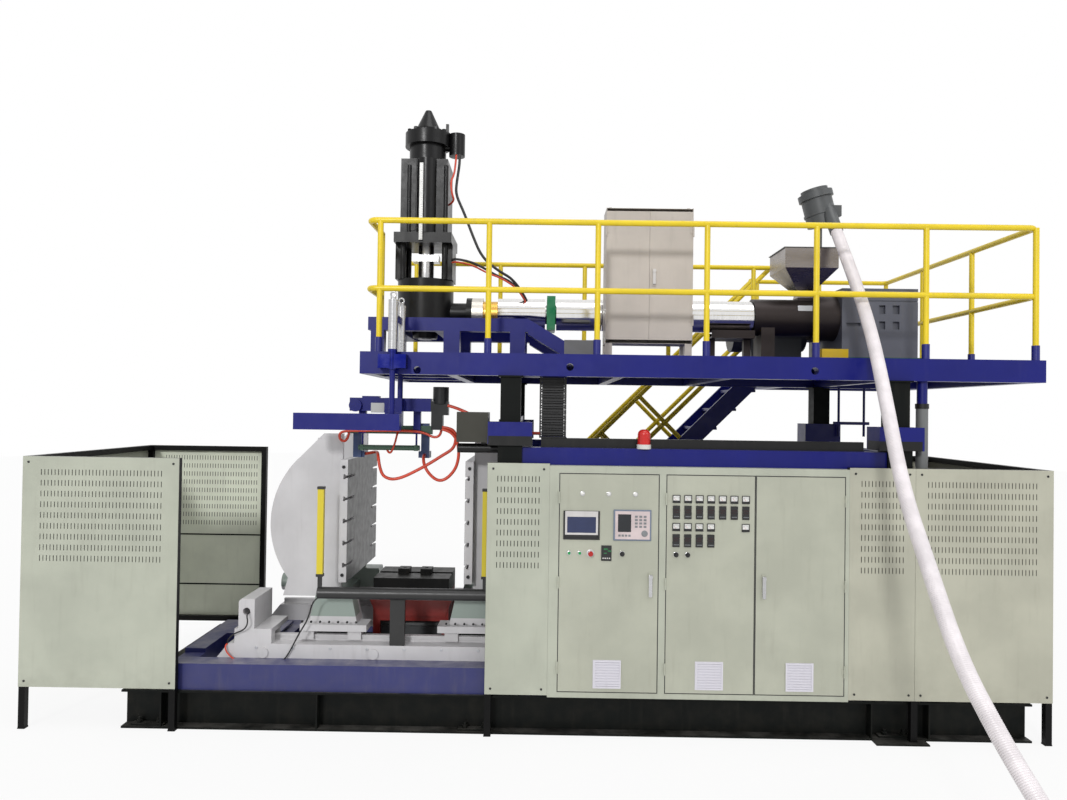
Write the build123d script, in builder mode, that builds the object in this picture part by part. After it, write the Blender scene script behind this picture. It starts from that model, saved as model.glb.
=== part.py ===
"""Extrusion blow moulding machine with an accumulator head, an extruder on a lifting platform,
two closing platens, a control cabinet and sheet metal guards. Millimetres, +X to the right as
the operator sees it, +Y to the rear, +Z up, origin on the floor under the middle of the machine."""

from build123d import *
import math
import os

os.makedirs("parts", exist_ok=True)

# Overall places
half_length = 4025
front_reach = 45
rear_reach = 2925
front_y = -(rear_reach - front_reach) / 2
touch = 0.3
running = 0.05

# Sheet metal guards and the control cabinet
guard_bottom = 330
guard_top = 2130
guard_depth = 2060
guard_tube = 50
sheet = 3
left_guard_width = 1230
narrow_panel_width = 488
cabinet_width = 2336
vent_panel_width = 513
end_panel_width = 1068
slot_width = 6
slot_height = 45
slot_pitch_x = 27
slot_pitch_z = 84
slot_columns = 13
slot_rows = 9
slot_field_drop = 459
panel_gap = 2

# Control cabinet
cabinet_depth = 400
cabinet_bottom = 315
cabinet_top = 2115
door_bottom = 357
door_top = 2058
door_thickness = 18
door_gap = 2
left_stile = 75
mullion = 52
right_stile = 30
door_1_width = 783
door_2_width = 696
door_3_width = 700
handle_height = 171
handle_width = 26
handle_depth = 22
handle_z = 1193
handle_inset = 66
hinge_radius = 7
hinge_length = 90
vent_size = 217
vent_z = 500
button_z = 1437
meter_pitch = 90

# Base and clamp bed
skid_left = -3240
skid_right = 3900
skid_front = sheet + guard_tube + touch
skid_rear = guard_depth - skid_front
skid_height = 300
flange_width = 200
flange_thickness = 16
web_thickness = 12
bed_left = -2930
bed_right = 90
bed_front = 80
bed_height = 206
bed_member = 170
rail_seat_height = 170

# Clamp
mould_x = -1080
mould_y = 1020
daylight = 980
platen_thickness = 68
platen_width = 1200
platen_bottom = 1090
platen_top = 2110
t_slot_pitch = 184
t_slot_width = 22
t_slot_depth = 38
t_slot_run = 244
rail_beam_width = 230
rail_beam_height = 150
rail_beam_left = -2600
rail_beam_right = 90
guide_rail_width = 45
guide_rail_height = 48
guide_offset = 150
foot_strip_height = 54
foot_strip_width = 200

# Lifting columns and lower frame
column_left = -210
column_right = 2860
column_front = 152
column_rear = 1900
column_size = 160
outer_column_size = 192
collar_size = 350
collar_bottom = 2265
collar_top = 2450
lower_beam_bottom = 2116
lower_beam_top = 2250
lower_beam_depth = 140
lift_stroke = 300

# Platform
platform_left = -1416
platform_front = 100
platform_rear = 2050
deck_top = 2996
beam_height = 178
beam_depth = 100
deck_plate = 6
landing_left = 2450
landing_rear = 2925
rail_radius = 24
rail_top = 4052
rail_middle = 3505
post_pitch = 872
post_left = -1272
post_count = 7
socket_height = 118
socket_radius = 30
stair_width = 640
stair_slope = 45
stringer_height = 180
stringer_thickness = 40

# Head and extruder
axis_z = 3415
stand_top = 3312
stand_front = 450
stand_rear = 1600
stand_tube = 110
head_radius = 252
head_base_height = 390
column_block = 414
column_block_top = 4765
window_height = 310
flange_plate = 90
flange_size = 510
cap_radius = 205
cap_bottom = 4925
cap_height = 120
tip_top = 5265
piston_radius = 70
piston_bore = 71
piston_stroke = 150
die_radius = 130
mandrel_radius = 62
mandrel_stroke = 20
barrel_radius = 85
barrel_bore = 60
screw_radius = 59.9
cover_radius = 142
cover_sheet = 4
feed_left = 1930
feed_right = 2470
feed_radius = 165
lantern_right = 2670
lantern_radius = 205
gearbox_right = 3335
gearbox_bottom = 3050
gearbox_top = 3658
gearbox_depth = 460
motor_gear_ratio = 18

# Hopper
hopper_x = 2400
hopper_size = 470
hopper_top = 4010
hopper_straight = 175
hopper_throat = 130
hopper_bottom = 3640

# Parison gripper
grip_x = -1142
grip_stroke = 170
grip_rod_radius = 22
jaw_stroke = 180

# Upper cabinet
upper_left = 571
upper_right = 1310
upper_front = 545
upper_depth = 290
upper_bottom = 3127
upper_top = 4283

# Feed hose, from the feeder's outlet to its pick-up on the floor
hose_radius = 50


def behind(distance):
    """The place that far behind the guards' front faces."""
    return front_y + distance


def facing(y):
    """An upright plane at y that looks towards the operator, X to the right and Z up."""
    return Plane.XZ.offset(-y)


def block(x, y, z, mode=Mode.ADD):
    """A straight bar or plate from one place to another along each axis."""
    with Locations(((x[0] + x[1]) / 2, (y[0] + y[1]) / 2, (z[0] + z[1]) / 2)):
        Box(x[1] - x[0], y[1] - y[0], z[1] - z[0], mode=mode)


def around(centre, size):
    """The two ends of a length of that size around a centre."""
    return (centre - size / 2, centre + size / 2)


def rod(start, end, radius, bore=0, mode=Mode.ADD):
    """A round bar, or a tube where a bore is given, between two points."""
    axis = Vector(*end) - Vector(*start)
    with BuildSketch(Plane(origin=start, z_dir=axis)) as section:
        Circle(radius)
        if bore:
            Circle(bore, mode=Mode.SUBTRACT)
    extrude(section.sketch, amount=axis.length, mode=mode)


def plate(plane, points, thickness, mode=Mode.ADD):
    """A flat plate with straight edges, drawn on a plane and thickened along its normal."""
    with BuildSketch(plane) as outline:
        with BuildLine():
            Polyline(*points, close=True)
        make_face()
    extrude(outline.sketch, amount=thickness, mode=mode)


def i_beam(plane, length):
    """A rolled I section of the skid's height, centred on a plane and running along its normal."""
    with BuildSketch(plane) as section:
        Rectangle(flange_width, skid_height)
        with Locations((-(flange_width + web_thickness) / 4, 0), ((flange_width + web_thickness) / 4, 0)):
            Rectangle((flange_width - web_thickness) / 2, skid_height - 2 * flange_thickness, mode=Mode.SUBTRACT)
    extrude(section.sketch, amount=length)


def finish(part, name):
    """Labels a finished piece and writes it."""
    part.label = name
    export_step(part, f"parts/{name}.step")


# Base skid: two long I sections, cross members, web stiffeners, anchor lugs and the outer columns
long_beam_front = behind(skid_front + flange_width / 2)
long_beam_rear = behind(skid_rear - flange_width / 2)
cross_places = (-3140, -2300, -1330, -830, column_left, 660, 1530, column_right, 3800)
stiffener_places = (-2930, -1700, 2650, 3100)
pad_places = (2650, 3060)
pad_thickness = 12
lug_places = (-3040, -460, 2845)
lug_length = 260
lug_thickness = 14
bolt_radius = 12
hexagon_radius = 21
bolt_pitch = 150
slide_gap = touch
with BuildPart() as base_skid:
    for y in (long_beam_front, long_beam_rear):
        i_beam(Plane(origin=(skid_left, y, skid_height / 2), x_dir=(0, 1, 0), z_dir=(1, 0, 0)), skid_right - skid_left)
    for x in cross_places:
        i_beam(
            Plane(origin=(x, long_beam_front, skid_height / 2), x_dir=(1, 0, 0), z_dir=(0, 1, 0)),
            long_beam_rear - long_beam_front,
        )
    for x in stiffener_places:
        for edge in (behind(skid_front), behind(skid_rear - flange_width / 2)):
            block(
                around(x, web_thickness),
                (edge, edge + flange_width / 2),
                (flange_thickness, skid_height - flange_thickness),
            )
    block(pad_places, (behind(-front_reach), behind(skid_front)), (0, pad_thickness))
    for x in lug_places:
        for y in (behind(skid_front + flange_width / 4), behind(skid_rear - flange_width / 4)):
            block(around(x, lug_length), around(y, flange_width / 3), (flange_thickness, flange_thickness + lug_thickness))
            for bolt_x in around(x, bolt_pitch):
                with BuildSketch(Plane.XY.offset(flange_thickness + lug_thickness)) as head:
                    with Locations((bolt_x, y)):
                        RegularPolygon(hexagon_radius, 6)
                extrude(head.sketch, amount=hexagon_radius)
                rod(
                    (bolt_x, y, flange_thickness + lug_thickness),
                    (bolt_x, y, flange_thickness + lug_thickness + 2 * hexagon_radius),
                    bolt_radius,
                )
    for x in (column_left, column_right):
        for y in (behind(column_front), behind(column_rear)):
            block(around(x, outer_column_size), around(y, outer_column_size), (skid_height, collar_top))
            block(
                around(x, column_size + 2 * slide_gap),
                around(y, column_size + 2 * slide_gap),
                (skid_height, collar_top),
                mode=Mode.SUBTRACT,
            )
finish(base_skid.part, "base_skid")

# Clamp bed: a welded box frame on the skid that carries the two rail beams
bed_top = skid_height + bed_height
rail_seat = skid_height + rail_seat_height
bed_rear = 2 * mould_y - bed_front
notch_y = 1400
corner_front = 950
bed_plate = 16
beam_front_edge = 250
beam_centres = (beam_front_edge + rail_beam_width / 2, 2 * mould_y - beam_front_edge - rail_beam_width / 2)
bed_cross_places = (-2300, -1330, -830)
with BuildPart() as clamp_bed:
    block((bed_left, bed_right), (behind(bed_front), behind(bed_front + bed_member)), (skid_height, bed_top))
    block(
        (rail_beam_left, bed_right),
        (behind(bed_rear - bed_member), behind(bed_rear)),
        (skid_height, bed_top),
    )
    block((bed_left, bed_left + bed_member), (behind(bed_front), behind(notch_y)), (skid_height, bed_top))
    block((bed_left, bed_cross_places[0]), (behind(corner_front), behind(notch_y)), (bed_top - bed_plate, bed_top))
    block(
        (bed_left, bed_cross_places[0]),
        (behind(corner_front), behind(corner_front + bed_plate)),
        (skid_height, bed_top),
    )
    for x in bed_cross_places:
        block(around(x, bed_member), (behind(bed_front), behind(bed_rear)), (skid_height, rail_seat))
    block(around(bed_right - bed_member / 2, bed_member), (behind(bed_front), behind(bed_rear)), (skid_height, rail_seat))
    for y in (column_front, column_rear):
        block(
            around(column_left, outer_column_size + 2 * touch),
            around(behind(y), outer_column_size + 2 * touch),
            (skid_height - 1, bed_top + 1),
            mode=Mode.SUBTRACT,
        )
    for centre in beam_centres:
        block(
            (bed_left, bed_right + 1),
            around(behind(centre), rail_beam_width + 2 * touch),
            (rail_seat, bed_top + 1),
            mode=Mode.SUBTRACT,
        )
finish(clamp_bed.part, "clamp_bed")

# Rail beams with their linear guide rails, and the hose housing on their left end
guide_centres = (beam_front_edge + guide_offset, 2 * mould_y - beam_front_edge - guide_offset)
beam_top = rail_seat + rail_beam_height
beam_chamfer = 120
boss_radius = 42
boss_places = (-2194, -1300)
boss_height = 14
housing_left = -2400
housing_width = 130
housing_depth = 430
housing_foot = 80
housing_base = 40
housing_height = 240
housing_bore = 30
with BuildPart() as rail_beams:
    for centre in beam_centres:
        plate(
            facing(behind(centre + rail_beam_width / 2)),
            (
                (rail_beam_left, rail_seat),
                (rail_beam_left + beam_chamfer, beam_top),
                (rail_beam_right - beam_chamfer, beam_top),
                (rail_beam_right, rail_seat),
            ),
            rail_beam_width,
        )
    for x in boss_places:
        rod(
            (x, behind(beam_front_edge), skid_height + bed_height + boss_radius + 2),
            (x, behind(beam_front_edge - boss_height), skid_height + bed_height + boss_radius + 2),
            boss_radius,
        )
    for centre in guide_centres:
        with BuildSketch(Plane.YZ.offset(rail_beam_left + 2 * beam_chamfer / 3 + 60)) as rail:
            with Locations((behind(centre), beam_top + guide_rail_height / 2)):
                Rectangle(guide_rail_width, guide_rail_height)
                with Locations((-guide_rail_width / 2, 0), (guide_rail_width / 2, 0)):
                    Rectangle(guide_rail_width / 4, guide_rail_height / 3, mode=Mode.SUBTRACT)
        extrude(rail.sketch, amount=rail_beam_right - rail_beam_left - 2 * beam_chamfer - 40)
    housing_x = (housing_left, housing_left + housing_width)
    foot_top = beam_top + housing_foot
    for y in ((beam_front_edge, guide_centres[0] - 60), (guide_centres[0] + 60, beam_front_edge + rail_beam_width)):
        block((housing_left - 30, housing_x[1] + 140), (behind(y[0]), behind(y[1])), (beam_top, foot_top))
    block(
        (housing_left - 30, housing_x[1] + 140),
        (behind(beam_front_edge), behind(beam_front_edge + housing_depth)),
        (foot_top, foot_top + housing_base),
    )
    plate(
        facing(behind(beam_front_edge + housing_depth)),
        (
            (housing_x[0], foot_top + housing_base),
            (housing_x[0], foot_top + housing_base + housing_height - 20),
            (housing_x[0] + 20, foot_top + housing_base + housing_height),
            (housing_x[1], foot_top + housing_base + housing_height),
            (housing_x[1], foot_top + housing_base),
        ),
        housing_depth,
    )
    rod(
        (sum(housing_x) / 2, behind(beam_front_edge), foot_top + housing_base + housing_height / 2 + 20),
        (sum(housing_x) / 2, behind(beam_front_edge + housing_depth / 3), foot_top + housing_base + housing_height / 2 + 20),
        housing_bore,
        mode=Mode.SUBTRACT,
    )
finish(rail_beams.part, "rail_beams")

# Platens: a T-slotted plate bolted to a welded carriage that rides on the guide rails
strip_bottom = beam_top + guide_rail_height + 46
strip_top = strip_bottom + foot_strip_height
strip_inner = -200
strip_outer = 345
block_length = 110
block_width = 96
block_bottom = beam_top + 12
block_places = (-90, 300)
foot_top_z = 1000
foot_depth = 200
gusset_thickness = 40
gusset_front = 520
inner_y = mould_y - gusset_front - gusset_thickness
gusset_bottom = 951
gusset_top = 2325
rib_levels = (1230, 1600, 1970)
rib_thickness = 30
rib_reach = 400
tie_radius = 82
small_tie_radius = 62
cylinder_z = 600
cylinder_radius = 70
cylinder_half = 330
piston_rod_radius = 32
rod_lug = (150, 230)


def out(side, distance):
    """The place that far behind a platen's mould face, to the left for -1 and the right for 1."""
    return mould_x + side * (daylight / 2 + distance)


def outward(side, low, high):
    """A stretch behind a platen's mould face as ends in rising order."""
    return tuple(sorted((out(side, low), out(side, high))))


def side_frame(side, hand):
    """One side of the welded carriage: strip and blocks on the rail, foot, gusset and tie rod ends."""
    guide_y = behind(guide_centres[max(hand, 0)])
    block(outward(side, strip_inner, strip_outer), around(guide_y, foot_strip_width), (strip_bottom, strip_top))
    for place in block_places:
        block(
            outward(side, place - block_length / 2, place + block_length / 2),
            around(guide_y, block_width),
            (block_bottom, strip_bottom),
        )
    foot_y = behind(mould_y + hand * inner_y)
    foot_edge = foot_y + hand * foot_depth
    plate(
        facing(max(foot_y, foot_edge)),
        (
            (out(side, -110), strip_top),
            (out(side, 290), strip_top),
            (out(side, 235), foot_top_z),
            (out(side, -60), foot_top_z),
        ),
        foot_depth,
    )
    with BuildSketch(facing(max(foot_y, foot_y + hand * gusset_thickness))) as gusset:
        with BuildLine():
            Polyline(
                (out(side, 517), 1100),
                (out(side, 557), gusset_bottom),
                (out(side, platen_thickness), gusset_bottom),
                (out(side, platen_thickness), gusset_top),
                (out(side, 232), gusset_top),
                (out(side, 417), 2137),
            )
            ThreePointArc((out(side, 417), 2137), (out(side, 672), 1600), (out(side, 517), 1100))
        make_face()
    extrude(gusset.sketch, amount=gusset_thickness)
    if hand > 0:
        tie_y = foot_y + gusset_thickness / 2
        rod((out(side, 490), tie_y, 860), (out(side, 860), tie_y, 860), tie_radius)
        block(outward(side, 480, 560), around(tie_y, 4 * gusset_thickness), (780, 1010))
        rod((out(side, 380), tie_y, 2190), (out(side, 545), tie_y, 2190), small_tie_radius)
    block(
        outward(side, strip_inner - 100, strip_outer + 100),
        around(guide_y, guide_rail_width + 2 * touch),
        (beam_top, beam_top + guide_rail_height + touch),
        mode=Mode.SUBTRACT,
    )


def cross_members(side):
    """The ribs between the gussets and the cross tube between the feet."""
    between = (behind(mould_y - inner_y), behind(mould_y + inner_y))
    for level in rib_levels:
        block(outward(side, platen_thickness, rib_reach), between, around(level, rib_thickness))
    block(outward(side, 120, 290), between, (strip_top, strip_top + 130))


def carriage_lug(side):
    """The lug under the carriage's cross tube that the clamp cylinder's rod pushes."""
    block(outward(side, *rod_lug), around(behind(mould_y), 160), (cylinder_z - 60, strip_top - touch))


def clamp_rod(side):
    """The clamp cylinder's piston rod, from its lug into the cylinder."""
    rod(
        (out(side, rod_lug[0] - touch), behind(mould_y), cylinder_z),
        (mould_x + side * (cylinder_half - 40), behind(mould_y), cylinder_z),
        piston_rod_radius,
    )


def slotted_platen(side):
    """The mould platen with horizontal T slots that run in from its front and rear edges."""
    block(
        outward(side, 0, platen_thickness),
        around(behind(mould_y), platen_width),
        (platen_bottom, platen_top),
    )
    middle = (platen_bottom + platen_top) / 2
    for step in range(-2, 3):
        level = middle + step * t_slot_pitch
        for edge in around(behind(mould_y), platen_width):
            run = around(edge, 2 * t_slot_run)
            block(outward(side, -1, t_slot_depth / 2), run, around(level, t_slot_width), mode=Mode.SUBTRACT)
            block(
                outward(side, t_slot_depth / 2, t_slot_depth),
                run,
                around(level, 1.8 * t_slot_width),
                mode=Mode.SUBTRACT,
            )


for side, name in ((-1, "left_platen"), (1, "right_platen")):
    with BuildPart() as front_side:
        side_frame(side, -1)
    with BuildPart() as rear_side:
        side_frame(side, 1)
    with BuildPart() as crossing:
        cross_members(side)
    with BuildPart() as mould_plate:
        slotted_platen(side)
    with BuildPart() as push_lug:
        carriage_lug(side)
    with BuildPart() as push_rod:
        clamp_rod(side)
    carriage = [front_side.part, rear_side.part, *crossing.part.solids(), push_lug.part, push_rod.part]
    finish(Compound(children=[mould_plate.part, *carriage]), name)

# Spreader unit between the platens: a fixed base, a rising table and two sliding pin blocks
spreader_front = 760
spreader_depth = 2 * (mould_y - spreader_front)
base_half = 330
base_bottom = 690
base_top = 915
table_top = 1060
apron_half = (364, 300)
apron_levels = (735, 885)
apron_sheet = 12
pin_half_spacing = 100
pin_block = (100, 130, 45)
guide_post_radius = 25
guide_post_half = 240
with BuildPart() as spreader_base:
    for x in around(mould_x, 2 * base_half - 60):
        block(
            around(x, 60),
            around(behind(mould_y), spreader_depth),
            (base_bottom, base_top),
        )
        for y in around(behind(mould_y), spreader_depth - 60):
            block(around(x, 60), around(y, 60), (rail_seat, base_bottom))
    block(
        around(mould_x, 2 * base_half - 120),
        around(behind(mould_y), spreader_depth),
        (base_bottom, base_bottom + 60),
    )
    plate(
        facing(behind(spreader_front)),
        (
            (mould_x - apron_half[1], apron_levels[0]),
            (mould_x + apron_half[1], apron_levels[0]),
            (mould_x + apron_half[0], apron_levels[1]),
            (mould_x - apron_half[0], apron_levels[1]),
        ),
        apron_sheet,
    )
    for x in around(mould_x, 2 * guide_post_half):
        rod(
            (x, behind(mould_y), base_bottom),
            (x, behind(mould_y), base_top),
            guide_post_radius + 16,
        )
        rod(
            (x, behind(mould_y), base_bottom - 1),
            (x, behind(mould_y), base_top + 1),
            guide_post_radius + running,
            mode=Mode.SUBTRACT,
        )
finish(spreader_base.part, "spreader_base")

with BuildPart() as spreader_table:
    block(
        around(mould_x, 2 * base_half),
        around(behind(mould_y), spreader_depth),
        (base_top, table_top),
    )
    block(
        around(mould_x, 2 * base_half + 2),
        around(behind(mould_y), pin_block[1] / 2),
        (table_top - 20, table_top + 1),
        mode=Mode.SUBTRACT,
    )
    for x in around(mould_x, 2 * guide_post_half):
        rod((x, behind(mould_y), base_bottom), (x, behind(mould_y), base_top), guide_post_radius)
finish(spreader_table.part, "spreader_table")

for side, name in ((-1, "spreader_pin_left"), (1, "spreader_pin_right")):
    centre = mould_x + side * pin_half_spacing
    with BuildPart() as pin:
        block(
            around(centre, pin_block[0]),
            around(behind(mould_y), pin_block[1]),
            (table_top, table_top + pin_block[2]),
        )
        block(
            around(centre, pin_block[0]),
            around(behind(mould_y), pin_block[1] / 2 - 2 * touch),
            (table_top - 20 + touch, table_top),
        )
        rod(
            (centre, behind(mould_y), table_top + pin_block[2] / 3),
            (centre, behind(mould_y), table_top + pin_block[2] + 1),
            16,
            mode=Mode.SUBTRACT,
        )
    finish(pin.part, name)

# Light barrier in front of the mould space: a round bar on a centre post, and two light curtains
bar_y = 200
bar_z = 1052
bar_radius = 47
bar_left = -1745
post_width = 120
curtain_bottom = 1205
curtain_top = 1885
curtain_width = 50
curtain_depth = 42
curtain_places = (-1730, -402)
curtain_cap = 22
with BuildPart() as light_barrier:
    rod(
        (bar_left, behind(bar_y), bar_z),
        (column_left - outer_column_size / 2, behind(bar_y), bar_z),
        bar_radius,
    )
    block(
        around(mould_x - 30, post_width),
        (behind(beam_front_edge), behind(beam_front_edge + 40)),
        (beam_top, bar_z),
    )
    for x in curtain_places:
        block(around(x, 30), around(behind(bar_y), 30), (bar_z, curtain_bottom))
        block(around(x, curtain_width), around(behind(bar_y), curtain_depth), (curtain_bottom, curtain_top))
        for z in ((curtain_bottom - curtain_cap, curtain_bottom), (curtain_top, curtain_top + curtain_cap)):
            block(around(x, curtain_width + 6), around(behind(bar_y), curtain_depth + 6), z)
finish(light_barrier.part, "light_barrier")

# Hydraulics: the clamp cylinder between the rails, and the tank with its pump behind the cabinet
tank = ((700, 1900), (900, 1600), (skid_height, 950))
pump_z = 1150
pump_radius = 130
with BuildPart() as hydraulics:
    for y in around(behind(mould_y), 4 * piston_rod_radius + 60):
        block(around(mould_x, 2 * cylinder_half - 40), around(y, 20), (rail_seat, cylinder_z))
    rod(
        (mould_x - cylinder_half, behind(mould_y), cylinder_z),
        (mould_x + cylinder_half, behind(mould_y), cylinder_z),
        cylinder_radius,
    )
    rod(
        (mould_x - cylinder_half - 1, behind(mould_y), cylinder_z),
        (mould_x + cylinder_half + 1, behind(mould_y), cylinder_z),
        piston_rod_radius + running,
        mode=Mode.SUBTRACT,
    )
    block(tank[0], (behind(tank[1][0]), behind(tank[1][1])), tank[2])
    block(
        (tank[0][0] - 20, tank[0][1] + 20),
        (behind(tank[1][0] - 20), behind(tank[1][1] + 20)),
        (tank[2][1], tank[2][1] + 20),
    )
    rod((850, behind(1150), pump_z), (1350, behind(1150), pump_z), pump_radius)
    block((880, 1320), around(behind(1150), 200), (tank[2][1] + 20, pump_z - pump_radius / 2))
    rod((1350, behind(1150), pump_z), (1500, behind(1150), pump_z), pump_radius / 2)
    rod((1680, behind(1300), tank[2][1] + 20), (1680, behind(1300), tank[2][1] + 260), 70)
finish(hydraulics.part, "hydraulics")

# Lower frame between the columns, with the collars, and the cable trunking on its front beam
trunk_width = 60
trunk_height = 75
carrier = ((20, 240), (300, 450))
carrier_wall = 8
carrier_bottom = lower_beam_top + trunk_height + carrier_wall
valve_box = (250, (80, 300), (2285, 2524))
drain_tube = (38, 2234)
duct_x = 3085
duct_y = 180
duct_upper = (40, 2330)
duct_lower = (46, 2040, 2640)
duct_ring = (52, 40)
duct_seat = (2330, 2380)
with BuildPart() as column_frame:
    inner_left = column_left + outer_column_size / 2
    inner_right = column_right - outer_column_size / 2
    for y in (column_front, column_rear):
        block((inner_left, inner_right), around(behind(y), lower_beam_depth), (lower_beam_bottom, lower_beam_top))
    for x, bottom in ((column_left, gusset_top + 30), (column_right, lower_beam_bottom)):
        block(
            around(x, lower_beam_depth),
            (behind(column_front + outer_column_size / 2), behind(column_rear - outer_column_size / 2)),
            (bottom, bottom + lower_beam_top - lower_beam_bottom),
        )
        for y in (column_front, column_rear):
            block(around(x, collar_size), around(behind(y), collar_size / 1.4), (collar_bottom, collar_top))
            block(
                around(x, outer_column_size),
                around(behind(y), outer_column_size),
                (collar_bottom - 1, collar_top + 1),
                mode=Mode.SUBTRACT,
            )
    block(
        (inner_left + 150, inner_right - 150),
        (behind(column_front + lower_beam_depth / 2 - trunk_width), behind(column_front + lower_beam_depth / 2)),
        (lower_beam_top, lower_beam_top + trunk_height),
    )
    block(carrier[0], (behind(column_front), behind(carrier[1][1])), (carrier_bottom - carrier_wall, carrier_bottom))
    box_right = column_left - collar_size / 2
    block((box_right - valve_box[0], box_right), (behind(valve_box[1][0]), behind(valve_box[1][1])), valve_box[2])
    rod(
        (box_right - valve_box[0], behind(sum(valve_box[1]) / 2), drain_tube[1]),
        (column_left - outer_column_size / 2 - touch, behind(sum(valve_box[1]) / 2), drain_tube[1]),
        drain_tube[0],
    )
    block((box_right - 60, box_right - 20), around(behind(sum(valve_box[1]) / 2), 40), (drain_tube[1], valve_box[2][0]))
    block((column_right + collar_size / 2, duct_x), around(behind(duct_y), 60), duct_seat)
    rod((duct_x, behind(duct_y), duct_lower[1]), (duct_x, behind(duct_y), duct_lower[2]), duct_lower[0])
    rod((duct_x, behind(duct_y), duct_lower[2] - duct_ring[1]), (duct_x, behind(duct_y), duct_lower[2]), duct_ring[0])
    rod(
        (duct_x, behind(duct_y), duct_lower[1] - 1),
        (duct_x, behind(duct_y), duct_lower[2] + 1),
        duct_upper[0] + 1,
        mode=Mode.SUBTRACT,
    )
finish(column_frame.part, "column_frame")

# Beacon: a lamp dome on a round base, on the front beam before the trunking
beacon_x = 852
beacon_y = 104
beacon_base = (57, 36)
beacon_dome = (50, 119)
with BuildPart() as beacon:
    dome_bottom = lower_beam_top + beacon_base[1]
    rod((beacon_x, behind(beacon_y), dome_bottom), (beacon_x, behind(beacon_y), dome_bottom + beacon_dome[1]), beacon_dome[0])
    fillet(beacon.faces().sort_by(Axis.Z)[-1].edges(), radius=0.84 * beacon_dome[0])
    rod((beacon_x, behind(beacon_y), lower_beam_top), (beacon_x, behind(beacon_y), dome_bottom), beacon_base[0])
finish(beacon.part, "beacon")

# Guard frames: square tube uprights and rails behind the panels
tube_front = sheet
tube_back = guard_depth - sheet
left_guard_right = left_guard_width - half_length
foot_plate = 10
foot_size = 56
narrow_left = -380
narrow_right = narrow_left + narrow_panel_width
cabinet_right = narrow_right + cabinet_width
vent_right = cabinet_right + vent_panel_width


def guard_post(x, y, bottom):
    """A square tube upright from a foot plate to the top of the guards."""
    block(around(x, guard_tube), around(behind(y), guard_tube), (bottom, guard_top))
    block(around(x, foot_size), around(behind(y), guard_tube), (bottom, bottom + foot_plate))


front_tube_y = tube_front + guard_tube / 2
rear_tube_y = tube_back - guard_tube / 2
left_tube_x = -half_length + sheet + guard_tube / 2
right_tube_x = half_length - sheet - guard_tube / 2
with BuildPart() as guard_frames:
    guard_post(left_tube_x, front_tube_y, 0)
    guard_post(left_tube_x, rear_tube_y, 0)
    guard_post(left_guard_right - guard_tube / 2, rear_tube_y, 0)
    guard_post(right_tube_x, front_tube_y, 0)
    guard_post(right_tube_x, rear_tube_y, 0)
    for x in (left_guard_right - guard_tube / 2, narrow_left + guard_tube / 2):
        guard_post(x, front_tube_y, 0)
    guard_post(vent_right, front_tube_y, pad_thickness)
    for z in around((guard_bottom + guard_top) / 2, guard_top - guard_bottom - guard_tube):
        level = around(z, guard_tube)
        left_run = (left_tube_x, left_guard_right - guard_tube / 2)
        block(left_run, around(behind(front_tube_y), guard_tube), level)
        block(left_run, around(behind(rear_tube_y), guard_tube), level)
        block((cabinet_right, right_tube_x), around(behind(front_tube_y), guard_tube), level)
        block((vent_right, right_tube_x), around(behind(rear_tube_y), guard_tube), level)
        block((narrow_left, narrow_right), around(behind(front_tube_y), guard_tube), level)
        for x in (left_tube_x, right_tube_x):
            block(around(x, guard_tube), (behind(front_tube_y), behind(rear_tube_y)), level)
    block(
        around(vent_right, guard_tube),
        around(behind(rear_tube_y), guard_tube),
        (guard_bottom, guard_top),
    )
    block(
        around(cabinet_right + guard_tube / 2, guard_tube),
        around(behind(front_tube_y), guard_tube),
        (guard_bottom, guard_top),
    )
finish(guard_frames.part, "guard_frames")

# Guard panels: sheet metal pans screwed to the frames, perforated with rows of slots
screw_radius_panel = 9
screw_head = 4
screw_inset = 45
rear_joints = (guard_bottom, 699, 1212, guard_top)


def slot_field(left, right, columns):
    """Rows of upright slots in the upper part of a panel."""
    with BuildSketch(facing(behind(sheet + 1))) as slots:
        with Locations(((left + right) / 2, guard_top - slot_field_drop)):
            with GridLocations(slot_pitch_x, slot_pitch_z, columns, slot_rows):
                Rectangle(slot_width, slot_height)
    extrude(slots.sketch, amount=sheet + 2, mode=Mode.SUBTRACT)


with BuildPart() as left_guard_panels:
    block((-half_length, left_guard_right), (behind(0), behind(sheet)), (guard_bottom, guard_top))
    block((-half_length, sheet - half_length), (behind(0), behind(guard_depth)), (guard_bottom, guard_top))
    for x in (screw_inset - half_length, left_guard_right - screw_inset):
        for z in (guard_bottom + screw_inset, guard_top - screw_inset):
            rod((x, behind(0), z), (x, behind(-screw_head), z), screw_radius_panel)
    for low, high in zip(rear_joints, rear_joints[1:]):
        block(
            (-half_length, left_guard_right),
            (behind(tube_back), behind(guard_depth)),
            (low + panel_gap / 2, high - panel_gap / 2),
        )
finish(left_guard_panels.part, "left_guard_panels")

with BuildPart() as right_guard_panels:
    for left, right in ((narrow_left, narrow_right), (cabinet_right, vent_right), (vent_right, half_length)):
        block(
            (left + panel_gap / 2, right - panel_gap / 2 if right < half_length else right),
            (behind(0), behind(sheet)),
            (guard_bottom, guard_top),
        )
        for x in (left + screw_inset, right - screw_inset):
            for z in (guard_bottom + screw_inset, guard_top - screw_inset):
                rod((x, behind(0), z), (x, behind(-screw_head), z), screw_radius_panel)
    for left, right in ((narrow_left, narrow_right), (cabinet_right, vent_right)):
        slot_field(left, right, slot_columns)
    block((half_length - sheet, half_length), (behind(0), behind(guard_depth)), (guard_bottom, guard_top))
    block((vent_right, half_length), (behind(tube_back), behind(guard_depth)), (guard_bottom, guard_top))
finish(right_guard_panels.part, "right_guard_panels")

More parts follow.
